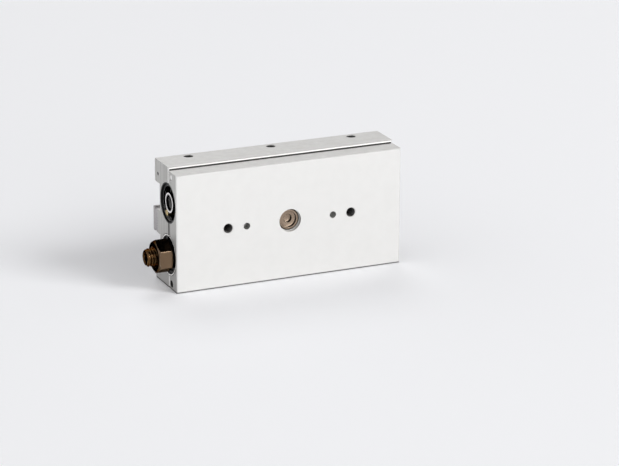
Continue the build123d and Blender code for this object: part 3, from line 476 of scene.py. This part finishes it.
# One dictionary for each finish; the keys are the record's material slots.
looks = {
    "anodised_body": {
        "colour": (0.725, 0.72, 0.705), "mottleColour": (0.71, 0.705, 0.69), "wearAndHighlightColour": (0.84, 0.84, 0.83),
        # End faces: painted shade, with milled stripes, and more painted shade towards the foot.
        "endShadeColour": (0.475, 0.47, 0.455), "endShadeStripeColour": (0.375, 0.37, 0.355),
        "stripeStretch": (1.0, 900.0, 12.0), "footColour": (0.345, 0.34, 0.33), "footFade": (-21.0, -11.0),
        # Seams: painted shade in the housing's joint, along the top and between the bores at the ends, and a
        # painted contact shadow along the bottom edge.
        "shadedSeams": ({"normal": (0, 1, 0), "offset": 8.8, "reach": 0.04, "beyondX": 0.0},
                  {"normal": (0, 1, 0), "offset": 8.8, "reach": 1.05, "beyondX": 51.3, "withinZ": 11.5},
                  {"normal": (0, 0, 1), "offset": -26.0, "reach": 0.7, "beyondX": 0.0}),
        "seamShadeColour": (0.05, 0.048, 0.045),
        # Bands: painted shade inside the bores' mouths and round the lower mouth, and a painted highlight on
        # the lower mouth's rim.
        "shadeAndHighlightBands": ({"level": "both", "radii": (7.0, 8.85), "beyondX": 49.0, "colour": (0.02, 0.02, 0.02)},
                  {"level": "lower", "radii": (8.85, 9.15), "beyondX": 49.0, "colour": (0.02, 0.02, 0.02)},
                  {"level": "lower", "radii": (8.36, 8.84), "beyondX": 51.6, "colour": (0.92, 0.91, 0.88)}),
        "metallic": 0.45, "ior": 1.6, "roughness": (0.42, 0.56), "grainScale": 5200.0, "grainHeight": 0.8,
        "lineStretch": (90.0, 5200.0, 60.0), "lineFacing": (1.0, 0.0, 0.0), "lineHeight": 1.6,
        # The dust colour is darker than the body, so on the top faces it is painted shade as well as dust.
        "dustAndShadeColour": (0.56, 0.55, 0.535), "dustAndShadeShare": 0.9, "bumpDistance": 0.000012, "edgeRadius": 0.0001,
    },
    "rail_steel": {
        "colour": (0.39, 0.37, 0.375), "mottleColour": (0.33, 0.315, 0.32), "wearAndHighlightColour": (0.62, 0.61, 0.61),
        "roughness": (0.2, 0.36), "grainScale": 3000.0, "grainHeight": 0.3,
        "lineStretch": (120.0, 9000.0, 9000.0), "lineHeight": 1.0, "bumpDistance": 0.00001,
        "dustAndShadeColour": (0.4, 0.39, 0.37), "dustAndShadeShare": 0.2,
    },
    "cap_alloy": {
        # Near-black: painted shade inside the bores. The light worn edges and the band round the boss's rim
        # are painted highlights.
        "colour": (0.03, 0.03, 0.031), "mottleColour": (0.045, 0.045, 0.046),
        "wearAndHighlightColour": (0.82, 0.81, 0.80), "edgeWidth": 0.0003, "edgeScale": 420.0,
        "roughness": (0.22, 0.36), "grainScale": 4000.0, "grainHeight": 0.3, "bumpDistance": 0.000014,
        "ringCentre": (0, bores["depth"], bores["upper"]), "ringOrder": (1, 2, 0), "ringHeight": 1.2,
        "shadeAndHighlightBands": ({"level": "upper", "radii": (3.62, 4.4), "beyondX": 51.2, "colour": (0.82, 0.79, 0.78)},),
    },
    "bright_steel": {
        "colour": (0.78, 0.78, 0.79), "mottleColour": (0.72, 0.72, 0.73), "wearAndHighlightColour": (0.86, 0.86, 0.86),
        "roughness": (0.16, 0.28), "grainScale": 3500.0, "grainHeight": 0.3,
        "lineStretch": (4000.0, 300.0, 300.0), "lineHeight": 0.8, "bumpDistance": 0.000008,
    },
    "dark_steel": {
        "colour": (0.055, 0.053, 0.052), "mottleColour": (0.085, 0.08, 0.076),
        "wearAndHighlightColour": (0.32, 0.31, 0.30), "edgeWidth": 0.00014,
        "roughness": (0.3, 0.46), "grainScale": 3800.0, "bumpDistance": 0.000012,
        "dustAndShadeColour": (0.2, 0.19, 0.18), "dustAndShadeShare": 0.2,
    },
    "jaw_steel": {
        "colour": (0.57, 0.565, 0.575), "mottleColour": (0.51, 0.505, 0.52), "wearAndHighlightColour": (0.72, 0.72, 0.72),
        "roughness": (0.26, 0.4), "grainScale": 3200.0, "grainHeight": 0.35,
        "lineStretch": (150.0, 6500.0, 6500.0), "lineHeight": 1.1, "bumpDistance": 0.000014,
        "dustAndShadeColour": (0.45, 0.44, 0.42), "dustAndShadeShare": 0.25,
    },
    "bronze": {
        "colour": (0.38, 0.29, 0.22), "mottleColour": (0.28, 0.21, 0.155), "wearAndHighlightColour": (0.5, 0.42, 0.33),
        # Faces turned aside, the walls of the steps, get painted shade.
        "sideShadeColour": (0.025, 0.017, 0.012),
        "metallic": 0.95, "roughness": (0.22, 0.34), "grainScale": 3600.0, "grainHeight": 0.4,
        "ringCentre": (0, 0, 0), "ringOrder": (0, 2, 1), "ringHeight": 1.3, "bumpDistance": 0.000016,
    },
    "nut_brown": {
        # The light worn edges are painted highlights; the end faces and the faces looking up get painted
        # shade.
        "colour": (0.19, 0.128, 0.08), "mottleColour": (0.14, 0.092, 0.057), "wearAndHighlightColour": (0.72, 0.62, 0.5),
        "endShadeColour": (0.012, 0.008, 0.005), "endShadeStripeColour": (0.02, 0.014, 0.009),
        "stripeStretch": (1.0, 500.0, 500.0), "upperShadeColour": (0.018, 0.012, 0.008),
        "edgeTint": (0.25, 0.2, 0.15), "edgeWidth": 0.0002, "roughness": (0.12, 0.2), "grainScale": 2600.0,
        "lineStretch": (500.0, 1500.0, 1500.0), "lineHeight": 0.7, "bumpDistance": 0.00002,
    },
    "screw_gold": {
        "colour": (0.13, 0.068, 0.028), "mottleColour": (0.06, 0.03, 0.014), "wearAndHighlightColour": (0.55, 0.38, 0.17),
        # The end faces, with the socket's floor, get painted shade.
        "edgeTint": (0.3, 0.22, 0.14), "endShadeColour": (0.04, 0.02, 0.01),
        "endShadeStripeColour": (0.02, 0.011, 0.006), "stripeStretch": (1.0, 700.0, 700.0),
        "roughness": (0.16, 0.28), "grainScale": 2600.0, "bumpDistance": 0.000014,
    },
    "brass": {
        "colour": (0.66, 0.5, 0.2), "mottleColour": (0.54, 0.4, 0.16), "wearAndHighlightColour": (0.95, 0.86, 0.6),
        "edgeWidth": 0.00025, "roughness": (0.22, 0.36), "grainScale": 3600.0, "bumpDistance": 0.000012,
    },
    "piston_alloy": {
        "colour": (0.62, 0.62, 0.63), "mottleColour": (0.56, 0.56, 0.57), "wearAndHighlightColour": (0.78, 0.78, 0.78),
        "roughness": (0.22, 0.34), "grainScale": 3800.0, "grainHeight": 0.3,
        "lineStretch": (6000.0, 200.0, 200.0), "lineHeight": 0.9, "bumpDistance": 0.00001,
    },
    "seal_rubber": {
        "colour": (0.018, 0.018, 0.018), "mottleColour": (0.03, 0.03, 0.029),
        "wearAndHighlightColour": (0.07, 0.07, 0.068),
        "metallic": 0.0, "ior": 1.52, "roughness": (0.5, 0.68), "grainScale": 2600.0, "bumpDistance": 0.00002,
    },
    "wear_plastic": {
        "colour": (0.62, 0.57, 0.44), "mottleColour": (0.56, 0.51, 0.39), "wearAndHighlightColour": (0.74, 0.70, 0.58),
        "metallic": 0.0, "ior": 1.48, "roughness": (0.4, 0.55), "grainScale": 3000.0,
        "bumpDistance": 0.000016,
    },
}
finishes = {name: makeFinish(name, look) for name, look in looks.items()}

# Finishes that no slot names: each is one of the looks above with some values of its own.
changedLooks = {
    "lower_cap_alloy": ("cap_alloy", {"ringCentre": (0, bores["depth"], bores["lower"])}),
    # Near-black threads: painted shade in the tapped holes; the light worn edges are painted highlights.
    "thread_hole_shade": ("dark_steel", {
        "colour": (0.035, 0.034, 0.033), "mottleColour": (0.022, 0.021, 0.02),
        "wearAndHighlightColour": (0.6, 0.59, 0.57), "metallic": 0.5}),
    # Blackened steel rings, also laid in the ports, where the black is painted shade; the light worn edges
    # are painted highlights.
    "ring_steel": ("dark_steel", {
        "colour": (0.02, 0.02, 0.02), "mottleColour": (0.03, 0.03, 0.03), "wearAndHighlightColour": (0.7, 0.69, 0.67),
        "edgeWidth": 0.00016}),
    # Dark grey: painted shade in the drilled holes.
    "drilled_hole_shade": ("dark_steel", {
        "colour": (0.085, 0.083, 0.08), "mottleColour": (0.12, 0.118, 0.115), "wearAndHighlightColour": (0.3, 0.29, 0.28),
        "metallic": 0.8}),
    # Mid grey: painted shade in the dowel holes.
    "reamed_hole_shade": ("dark_steel", {
        "colour": (0.5, 0.5, 0.49), "mottleColour": (0.38, 0.38, 0.37), "wearAndHighlightColour": (0.7, 0.7, 0.69),
        "metallic": 0.4}),
    # Whiter and rougher than bright_steel: the ball painted bright as a painted highlight.
    "plug_steel_painted_highlight": ("bright_steel", {
        "colour": (0.93, 0.93, 0.92), "mottleColour": (0.88, 0.88, 0.88), "roughness": (0.34, 0.46),
        "metallic": 0.15}),
}
for name, (base, changes) in changedLooks.items():
    finishes[name] = makeFinish(name, {**looks[base], **changes})
print("finishes built,", len(finishes))

# CAD nodes whose finish isn't their slot's own.
nodeFinishes = {"lower_left_cap": "lower_cap_alloy", "lower_right_cap": "lower_cap_alloy",
                "end_plugs": "plug_steel_painted_highlight"}
for part in frame["record"]["subparts"]:
    finish = finishes[nodeFinishes.get(part["node"], part["material_slot"])]
    mesh = nodes[part["node"]].data
    if not mesh.materials:
        mesh.materials.append(finish)
    for slotNumber in range(len(mesh.materials)):
        mesh.materials[slotNumber] = finish
print("CAD nodes finished")


# Opening stop: threaded screw with a hexagon socket.
stopScrew = {"left": -62.55, "length": 20.77, "radius": 3.92, "pitch": 1.25, "ridge": 0.74,
             "chamferRadius": 3.2, "coneSlope": 0.9, "edge": 0.06, "socketFlat": 4.0, "socketDepth": 4.0,
             "socketPoint": 0.4, "floorShare": 0.96, "mouthDepths": (0.5, 0.22),
             "mouthRadii": (2.12, 2.42, 2.7), "tipRadius": 1.5, "tipLength": 1.5, "tipShoulder": 0.5,
             "tipBreak": 0.2, "sides": 96, "rowsPerPitch": 10}


# Rows run from the socket's floor over the end face and the thread to the tip. On the thread,
# radius = root + ridge * threadRidge(along, angle), and no more than the chamfer's cone.
def stopScrewShell(s):
    angle = evenAngles(s["sides"])
    socket = hexagonRadius(angle, s["socketFlat"])
    depth = s["socketDepth"]
    along = np.arange(0.0, s["length"], s["pitch"] / s["rowsPerPitch"])
    root = s["radius"] - s["ridge"]
    thread = root + s["ridge"] * threadRidge(along[:, None], angle[None, :], s["pitch"])
    cone = s["chamferRadius"] + along[:, None] * s["coneSlope"]
    tipCone = s["chamferRadius"] + (s["length"] - along[:, None]) * s["coneSlope"]
    thread = np.minimum(np.minimum(thread, cone), tipCone)
    flat = np.ones_like(angle)
    deep, shallow = s["mouthDepths"]
    inner, middle, outer = s["mouthRadii"]
    rows = [
        (depth + s["socketPoint"], 0 * flat), (depth, socket * s["floorShare"]), (depth - s["edge"], socket),
        (deep, socket), (shallow, np.maximum(socket, inner)), (0.0, middle * flat), (0.0, outer * flat),
        (0.0, (s["chamferRadius"] - s["edge"]) * flat),
    ]
    rows += list(zip(along, thread))
    tip, end = s["tipRadius"], s["length"] + s["tipLength"]
    rows += [
        (s["length"], (tip + s["tipShoulder"]) * flat), (s["length"], tip * flat),
        (end - s["tipBreak"], tip * flat), (end, (tip - s["tipBreak"]) * flat), (end, 0 * flat),
    ]
    alongs = np.array([row[0] for row in rows])[:, None]
    radii = np.array([row[1] for row in rows])
    centre = (s["left"], bores["depth"], bores["lower"])
    return gridShell(aroundAxis(alongs, radii, angle[None, :], centre, "+x"), firstPole=True, lastPole=True)


makePiece("threaded_stop_screw", [stopScrewShell(stopScrew)], "stop_screw", "screw_gold", ("stop_screw",))

# Lock nut.
lockNut = {"left": -58.6, "height": 6.5, "flat": 13.0, "holeRadius": 4.06, "mouthRadius": 4.5,
           "faceRadius": 6.2, "faceMargin": 0.5, "coneSlope": 0.577, "coneShares": (0.2, 0.4, 0.6, 0.8, 1.0),
           "cornerCut": 0.1, "perFlat": 14, "facet": 1.4}


# The cone that breaks the corners starts at faceRadius: along = (radius - faceRadius) * slope.
def lockNutShell(n):
    angle = hexagonAngles(n["perFlat"], n["facet"])
    outer = hexagonRadius(angle, n["flat"], n["cornerCut"])
    flat = np.ones_like(angle)
    mouth = n["mouthRadius"] - n["holeRadius"]
    half = [(mouth, n["holeRadius"] * flat), (0, n["mouthRadius"] * flat),
            (0, (n["faceRadius"] - n["faceMargin"]) * flat), (0, n["faceRadius"] * flat)]
    for share in n["coneShares"]:
        radius = n["faceRadius"] + (outer - n["faceRadius"]) * share
        half.append(((radius - n["faceRadius"]) * n["coneSlope"], radius))
    alongs = np.array([a * flat for a, r in half])
    radii = np.array([r for a, r in half])
    alongs = np.vstack([alongs, n["height"] - alongs[::-1]])
    radii = np.vstack([radii, radii[::-1]])
    centre = (n["left"], bores["depth"], bores["lower"])
    return gridShell(aroundAxis(alongs, radii, angle[None, :], centre, "+x"), wrapRows=True)


makePiece("chamfered_lock_nut", [lockNutShell(lockNut)], "housing", "nut_brown", ("lock_nut",), sharpAngle=24)

# Socket head screws in the body and the rail.
# In the rim and the foot, each pair is the way from the head's end and what its radius is short of.
socketScrew = {"headRadius": 2.74, "headHeight": 3.0, "rim": ((0.0, 0.42), (0.1, 0.2), (0.34, 0.03)),
               "foot": ((0.2, 0.05), (0.0, 0.2)), "knurls": 24, "knurlDepth": 0.07, "knurlFrom": 0.44,
               "knurlTo": 0.35, "socketFlat": 2.5, "socketDepth": 1.6, "socketPoint": 0.45,
               "floorShare": 0.94,
               "edge": 0.05, "mouthDepth": 0.2, "mouthRadii": (1.5, 1.62), "shankRadius": 1.48,
               "fillet": 0.15,
               "endBreak": 0.4, "sides": 144}
bodyScrews = {"top": 24.2, "end": 2.8, "x": (19.5, 43.5), "z": (-22.1, 22.1)}
railScrews = {"top": 27.0, "end": 13.2, "x": (16.0, 46.0), "z": (0.0,)}


# Rows run down from the socket. On the knurl, radius = head radius - depth * |sin(knurls * angle / 2)|.
def socketScrewShell(s, x, z, top, end):
    angle = evenAngles(s["sides"])
    flat = np.ones_like(angle)
    socket = hexagonRadius(angle, s["socketFlat"])
    knurl = s["headRadius"] - s["knurlDepth"] * np.abs(np.sin(angle * s["knurls"] / 2))
    head, total = s["headHeight"], top - end
    inner, outer = s["mouthRadii"]
    shank, fillet, endBreak = s["shankRadius"], s["fillet"], s["endBreak"]
    rows = [
        (s["socketDepth"] + s["socketPoint"], 0 * flat), (s["socketDepth"], socket * s["floorShare"]),
        (s["socketDepth"] - s["edge"], socket), (s["mouthDepth"], socket),
        (0.0, np.maximum(socket, inner)), (0.0, outer * flat),
    ]
    rows += [(down, (s["headRadius"] - less) * flat) for down, less in s["rim"]]
    rows += [(s["knurlFrom"], knurl), (head - s["knurlTo"], knurl)]
    rows += [(head - up, (s["headRadius"] - less) * flat) for up, less in s["foot"]]
    rows += [
        (head, (shank + fillet) * flat), (head + fillet, shank * flat), (total - endBreak, shank * flat),
        (total, (shank - endBreak) * flat), (total, 0 * flat),
    ]
    alongs = np.array([row[0] for row in rows])[:, None]
    radii = np.array([row[1] for row in rows])
    points = aroundAxis(alongs, radii, angle[None, :], (x, top, z), "-y")
    return gridShell(points, firstPole=True, lastPole=True)


screwSets = (("knurled_body_screws", bodyScrews, "body_screws"),
             ("knurled_rail_screws", railScrews, "rail_screws"))
for name, group, node in screwSets:
    shells = []
    for x in group["x"]:
        shells += [socketScrewShell(socketScrew, side * x, z, group["top"], group["end"])
                   for side in (-1, 1) for z in group["z"]]
    makePiece(name, shells, "housing", "dark_steel", (node,))

# Retaining rings of the end caps.
retainingRing = {"outer": 8.9, "widest": 1.85, "narrowest": 1.1, "thickness": 1.0, "nearX": 50.2,
                 "edge": 0.12, "openingHalf": 25.0, "eyeHalf": 31.0, "eyeCentre": 7.3, "eyeOuter": 1.12,
                 "eyeInner": 0.52, "turns": {"upper": -62.0, "lower": 20.0}, "bandSteps": 121, "eyeSides": 28}


# A rounded rectangle as a loop: corner centres plus edge * (cos, sin), three points a corner.
def roundedSection(width, height, edge):
    corners = np.array([(1, 1), (-1, 1), (-1, -1), (1, -1)])
    turn = np.radians(np.array([0, 45, 90]))[None, :] + np.arange(4)[:, None] * math.pi / 2
    across = corners[:, 0, None] * (width / 2 - edge) + edge * np.cos(turn)
    along = corners[:, 1, None] * (height / 2 - edge) + edge * np.sin(turn)
    return across.ravel(), along.ravel()


# The band's width falls from widest at the back to narrowest by the eyes: width = narrowest +
# (widest - narrowest) * cos(angle from the back / 2) squared. Each eye is a small ring of its own.
def retainingRingShells(r, side, level):
    turn = math.radians(r["turns"][level])
    angle = np.radians(np.linspace(r["openingHalf"], 360 - r["openingHalf"], r["bandSteps"]))
    width = r["narrowest"] + (r["widest"] - r["narrowest"]) * np.cos((angle - math.pi) / 2) ** 2
    across, along = roundedSection(1.0, r["thickness"], r["edge"])
    middleX = side * (r["nearX"] + r["thickness"] / 2)
    radius = r["outer"] - width[:, None] / 2 + across[None, :] * width[:, None]
    centre = (middleX, bores["depth"], bores[level])
    band = aroundAxis(np.broadcast_to(along, radius.shape), radius, angle[:, None] + turn, centre, "+x")
    firstEnd = band[:1].mean(1, keepdims=True).repeat(band.shape[1], 1)
    lastEnd = band[-1:].mean(1, keepdims=True).repeat(band.shape[1], 1)
    band = np.concatenate([firstEnd, band, lastEnd])
    shells = [gridShell(band, firstPole=True, lastPole=True)]
    eyeAcross, eyeAlong = roundedSection(r["eyeOuter"] - r["eyeInner"], r["thickness"], r["edge"])
    eyeMiddle = (r["eyeOuter"] + r["eyeInner"]) / 2
    for eyeSide in (-1, 1):
        eyeTurn = turn + eyeSide * math.radians(r["eyeHalf"])
        eye = (middleX, bores["depth"] + r["eyeCentre"] * math.cos(eyeTurn),
               bores[level] + r["eyeCentre"] * math.sin(eyeTurn))
        around = evenAngles(r["eyeSides"])[:, None]
        ring = aroundAxis(eyeAlong[None, :], eyeMiddle + eyeAcross[None, :], around, eye, "+x")
        shells.append(gridShell(ring, wrapRows=True))
    return shells


ringShells = []
for side in (-1, 1):
    for level in ("upper", "lower"):
        ringShells += retainingRingShells(retainingRing, side, level)
makePiece("spring_rings", ringShells, "housing", "dark_steel", ("retaining_rings",), finish="ring_steel")

# Stepped head of the pinion pin, seen in the centring recess.
pinHead = {"face": 1.6, "rim": 4.79, "stepRadius": 3.48, "stepFloor": 3.0, "eyeRadius": 1.9, "eyeFloor": 4.6,
           "shoulder": 4.2, "pin": 2.99, "end": 17.5, "break": 0.12, "rimBreak": 0.55, "endBreak": 0.3,
           "eyePoint": 0.25, "eyeCorners": (0.25, 0.04), "stepCorner": 0.1, "cornerRise": 0.06, "sides": 96}


# Rows run from the eye's floor outwards over the steps, then down the pin; each step's edge is broken.
def pinHeadShell(p):
    edge, rise = p["break"], p["cornerRise"]
    eye, step, rim, pin = p["eyeRadius"], p["stepRadius"], p["rim"], p["pin"]
    wide, narrow = p["eyeCorners"]
    profile = [
        (p["eyeFloor"] + p["eyePoint"], 0), (p["eyeFloor"], eye - wide), (p["eyeFloor"] - rise, eye - narrow),
        (p["stepFloor"] + edge, eye), (p["stepFloor"], eye + edge), (p["stepFloor"], step - p["stepCorner"]),
        (p["stepFloor"] - rise, step), (p["face"] + edge, step), (p["face"], step + edge),
        (p["face"], rim - p["rimBreak"]), (p["face"] + p["rimBreak"], rim),
        (p["shoulder"], rim), (p["shoulder"], pin),
        (p["end"] - p["endBreak"], pin), (p["end"], pin - p["endBreak"]), (p["end"], 0),
    ]
    alongs, radii = (np.array(v, float)[:, None] for v in zip(*profile))
    points = aroundAxis(alongs, radii, evenAngles(p["sides"])[None, :], (0, 0, 0), "+y")
    return gridShell(points, firstPole=True, lastPole=True)


makePiece("stepped_pinion_pin", [pinHeadShell(pinHead)], "housing", "bronze", ("pinion_pin",))

# Threads in the tapped holes.
m4Thread = {"radius": 1.965, "pitch": 0.7, "ridge": 0.33, "start": 0.3}
m5Thread = {"radius": 2.465, "pitch": 0.8, "ridge": 0.38, "start": 0.3}
# What every thread's sleeve has in common; the small lengths set its ends off from the solid's surfaces.
sleeve = {"coneShare": 0.45, "fadePitches": 0.6, "rowsPerPitch": 8, "lead": 0.02, "clear": 0.06,
          "coneGap": 0.1, "recessLead": 0.03, "recessFloor": 0.04, "recessEdge": 0.1,
          "sides": 40}


# A sleeve down the hole: radius = wall - ridge * threadRidge(depth, angle), fading out at the
# mouth, then a drilled cone to the middle. Rows run down from the mouth, so faces look inwards.
def threadShell(t, depth, mouth, axis, recessRadius=0.0, recessDepth=0.0):
    angle = evenAngles(sleeve["sides"])
    drill = (t["radius"] - t["ridge"]) * sleeve["coneShare"]
    start = recessDepth + t["start"]
    down = np.arange(start, depth - drill - sleeve["coneGap"], t["pitch"] / sleeve["rowsPerPitch"])
    fade = np.clip((down - start) / (sleeve["fadePitches"] * t["pitch"]), 0, 1)[:, None]
    radii = t["radius"] - t["ridge"] * fade * threadRidge(-down[:, None], angle[None, :], t["pitch"])
    flat = np.ones((1, len(angle)))
    down = np.concatenate([[start - sleeve["lead"]], down,
                           [depth - drill - sleeve["clear"], depth - sleeve["clear"]]])
    radii = np.vstack([(t["radius"] + sleeve["clear"]) * flat, radii, (t["radius"] - t["ridge"]) * flat,
                       0 * flat])
    if recessRadius:
        floor = recessDepth - sleeve["recessFloor"]
        down = np.concatenate([[sleeve["recessLead"], floor, recessDepth - sleeve["recessLead"]], down])
        radii = np.vstack([recessRadius * flat, recessRadius * flat,
                           (recessRadius - sleeve["recessEdge"]) * flat, radii])
    return gridShell(aroundAxis(-down[:, None], radii, angle[None, :], mouth, axis), lastPole=True)


outwards = {-1: "-x", 1: "+x"}
jawSides = ((-1, "left_jaw"), (1, "right_jaw"))
faceHoles = {"x": 28.5, "depth": 7.5}
topHoles = {"x": (-38.0, 0.0, 38.0), "y": 21.0, "z": 27.4, "depth": 8.0}
bodyShells = [threadShell(m4Thread, faceHoles["depth"], (side * faceHoles["x"], 0, 0), "-y")
              for side in (-1, 1)]
bodyShells += [threadShell(m4Thread, topHoles["depth"], (x, topHoles["y"], topHoles["z"]), "+z")
               for x in topHoles["x"]]
makePiece("body_threads", bodyShells, "housing", "anodised_body", closed=False, finish="thread_hole_shade")
ports = {"x": 51.5, "depth": 6.5, "recessRadius": 3.28, "recessDepth": 1.2}
portShells = [threadShell(m5Thread, ports["depth"], (side * ports["x"], bores["depth"], bores["upper"]),
                          outwards[side], ports["recessRadius"], ports["recessDepth"]) for side in (-1, 1)]
makePiece("port_threads", portShells, "housing", "cap_alloy", closed=False, finish="ring_steel")
fingerHoles = {"middle": 27.0, "x": 12.0, "y": 33.0, "z": 10.5, "depth": 8.0}
for side, body in jawSides:
    columns = [side * (fingerHoles["middle"] + sx * fingerHoles["x"]) for sx in (-1, 1)]
    shells = [threadShell(m4Thread, fingerHoles["depth"], (x, fingerHoles["y"], sz * fingerHoles["z"]), "+y")
              for x in columns for sz in (-1, 1)]
    makePiece(body + "_threads", shells, body, "jaw_steel", closed=False)

drillPoint = {"height": 0.6, "gap": 0.015, "mouth": 0.02, "under": 0.3, "clear": 0.05, "sides": 36}


# Drilled holes for dowels and at the body's ends: a straight wall and a drill point of 118 degrees,
# so radius = wall - (depth - straight) / height over the cone. Rows run down from the mouth.
def drilledShell(radius, depth, mouth, axis):
    angle = evenAngles(drillPoint["sides"])
    wall = radius - drillPoint["gap"]
    floor = depth - drillPoint["clear"]
    down = np.array([drillPoint["mouth"], drillPoint["under"],
                     depth - drillPoint["height"] * wall - drillPoint["clear"],
                     depth - drillPoint["height"] / 2 * wall - drillPoint["clear"], floor])
    radii = np.array([wall, wall, wall, 0.5 * wall, 0.0])
    return gridShell(aroundAxis(-down[:, None], radii[:, None], angle[None, :], mouth, axis), lastPole=True)


faceDowels = {"radius": 1.5, "depth": 5.0, "x": 20.0}
shells = [drilledShell(faceDowels["radius"], faceDowels["depth"], (side * faceDowels["x"], 0, 0), "-y")
          for side in (-1, 1)]
makePiece("dowel_holes", shells, "housing", "anodised_body", closed=False, finish="reamed_hole_shade")
endHoles = (
    {"radius": 1.6, "depth": 5.0, "x": 52.0, "y": 6.3, "z": (-23.55,)},
    {"radius": 0.8, "depth": 5.0, "x": 52.0, "y": 20.9, "z": (-21.3, 21.3)},
)
shells = [drilledShell(hole["radius"], hole["depth"], (side * hole["x"], hole["y"], z), outwards[side])
          for hole in endHoles for side in (-1, 1) for z in hole["z"]]
makePiece("drilled_holes", shells, "housing", "anodised_body", closed=False, finish="drilled_hole_shade")
fingerDowels = {"radius": 1.5, "depth": 4.5, "middle": 27.0, "x": 8.0, "y": 33.0}
for side, body in jawSides:
    columns = [side * (fingerDowels["middle"] + sx * fingerDowels["x"]) for sx in (-1, 1)]
    shells = [drilledShell(fingerDowels["radius"], fingerDowels["depth"], (x, fingerDowels["y"], 0), "+y")
              for x in columns]
    makePiece(body + "_dowel_holes", shells, body, "jaw_steel", closed=False, finish="reamed_hole_shade")
print("detailed pieces built")

# Floor, light and camera.
stage = {"floorHeight": -26.02, "floorSize": 12000.0, "floorColour": (0.925, 0.928, 0.945)}
half, level = stage["floorSize"] / 2 * mm, stage["floorHeight"] * mm
corners = [(-half, -half, level), (half, -half, level), (half, half, level), (-half, half, level)]
floorMesh = bpy.data.meshes.new("studio_floor")
floorMesh.from_pydata(corners, [], [(0, 1, 2, 3)])
floor = bpy.data.objects.new("studio_floor", floorMesh)
bpy.context.scene.collection.objects.link(floor)
floorPaper = bpy.data.materials.new("floor_paper")
floorPaper.use_nodes = True
floorShader = floorPaper.node_tree.nodes["Principled BSDF"]
floorShader.inputs["Base Color"].default_value = (*stage["floorColour"], 1.0)
floorShader.inputs["Roughness"].default_value = 0.9
floorShader.inputs["Specular IOR Level"].default_value = 0.1
floorMesh.materials.append(floorPaper)

# The sky is brighter on the left and dark overhead, so shiny upward faces turn dark.
sky = {"rightHorizon": 0.45, "leftHorizon": 1.3, "overhead": 0.1, "fadeFrom": 0.35, "fadeTo": 0.95,
       "sideFrom": -0.5, "sideTo": 0.5, "colour": (0.99, 0.99, 1.0)}
world = bpy.data.worlds.new("studio_sky")
bpy.context.scene.world = world
world.use_nodes = True
skyTree = world.node_tree
direction = skyTree.nodes.new("ShaderNodeTexCoord")
height = skyTree.nodes.new("ShaderNodeSeparateXYZ")
skyTree.links.new(direction.outputs["Generated"], height.inputs[0])
horizon = addNode(skyTree, "ShaderNodeMapRange",
                  {"From Min": sky["sideFrom"], "From Max": sky["sideTo"],
                   "To Min": sky["leftHorizon"], "To Max": sky["rightHorizon"]},
                  interpolation_type="SMOOTHSTEP")
strength = addNode(skyTree, "ShaderNodeMapRange",
                   {"From Min": sky["fadeFrom"], "From Max": sky["fadeTo"], "To Max": sky["overhead"]},
                   interpolation_type="SMOOTHSTEP")
skyTree.links.new(height.outputs[0], horizon.inputs[0])
skyTree.links.new(horizon.outputs[0], strength.inputs["To Min"])
skyTree.links.new(height.outputs[2], strength.inputs[0])
background = skyTree.nodes["Background"]
background.inputs["Color"].default_value = (*sky["colour"], 1.0)
skyTree.links.new(strength.outputs[0], background.inputs["Strength"])

lamps = {
    "key_box": {"place": (3.0, -3.6, 3.0), "target": (0, 0, 0), "size": 2.4, "power": 175.0},
    "low_box": {"place": (0.8, -4.6, 1.4), "target": (0, 0, 0), "size": 2.4, "power": 44.0},
    "rear_box": {"place": (1.0, 3.4, 4.0), "target": (0, 0, 0), "size": 2.4, "power": 60.0},
}
for name, lamp in lamps.items():
    light = bpy.data.lights.new(name, "AREA")
    light.shape = "SQUARE"
    light.size = lamp["size"]
    light.energy = lamp["power"]
    holder = bpy.data.objects.new(name, light)
    bpy.context.scene.collection.objects.link(holder)
    holder.location = lamp["place"]
    towards = Vector(lamp["target"]) - Vector(lamp["place"])
    holder.rotation_euler = towards.to_track_quat("-Z", "Y").to_euler()

# The camera stands to the left of the face and above it, far back with a long lens.
view = {"azimuth": 24.082, "elevation": 18.266, "roll": 0.236, "distance": 1182.23, "aim": (9.034, 0, -6.858),
        "focalPixels": 2759.95, "imageWidth": 619, "sensorWidth": 36.0, "clip": (0.05, 50.0)}
azimuth, elevation, roll = (math.radians(view[key]) for key in ("azimuth", "elevation", "roll"))
back = Vector((-math.sin(azimuth) * math.cos(elevation), -math.cos(azimuth) * math.cos(elevation),
               math.sin(elevation)))
right = Vector((math.cos(azimuth), -math.sin(azimuth), 0))
up = back.cross(right)
rolledRight = math.cos(roll) * right + math.sin(roll) * up
rolledUp = -math.sin(roll) * right + math.cos(roll) * up
cameraData = bpy.data.cameras.new("photo_camera")
cameraData.sensor_fit = "HORIZONTAL"
cameraData.sensor_width = view["sensorWidth"]
cameraData.lens = view["focalPixels"] / view["imageWidth"] * view["sensorWidth"]
cameraData.clip_start, cameraData.clip_end = view["clip"]
camera = bpy.data.objects.new("photo_camera", cameraData)
bpy.context.scene.collection.objects.link(camera)
turn = Matrix((rolledRight, rolledUp, back)).transposed().to_4x4()
camera.matrix_world = Matrix.Translation(Vector(view["aim"]) * mm + back * view["distance"] * mm) @ turn
bpy.context.scene.camera = camera
bpy.context.scene.view_settings.view_transform = "Standard"
print("stage, light and camera set")
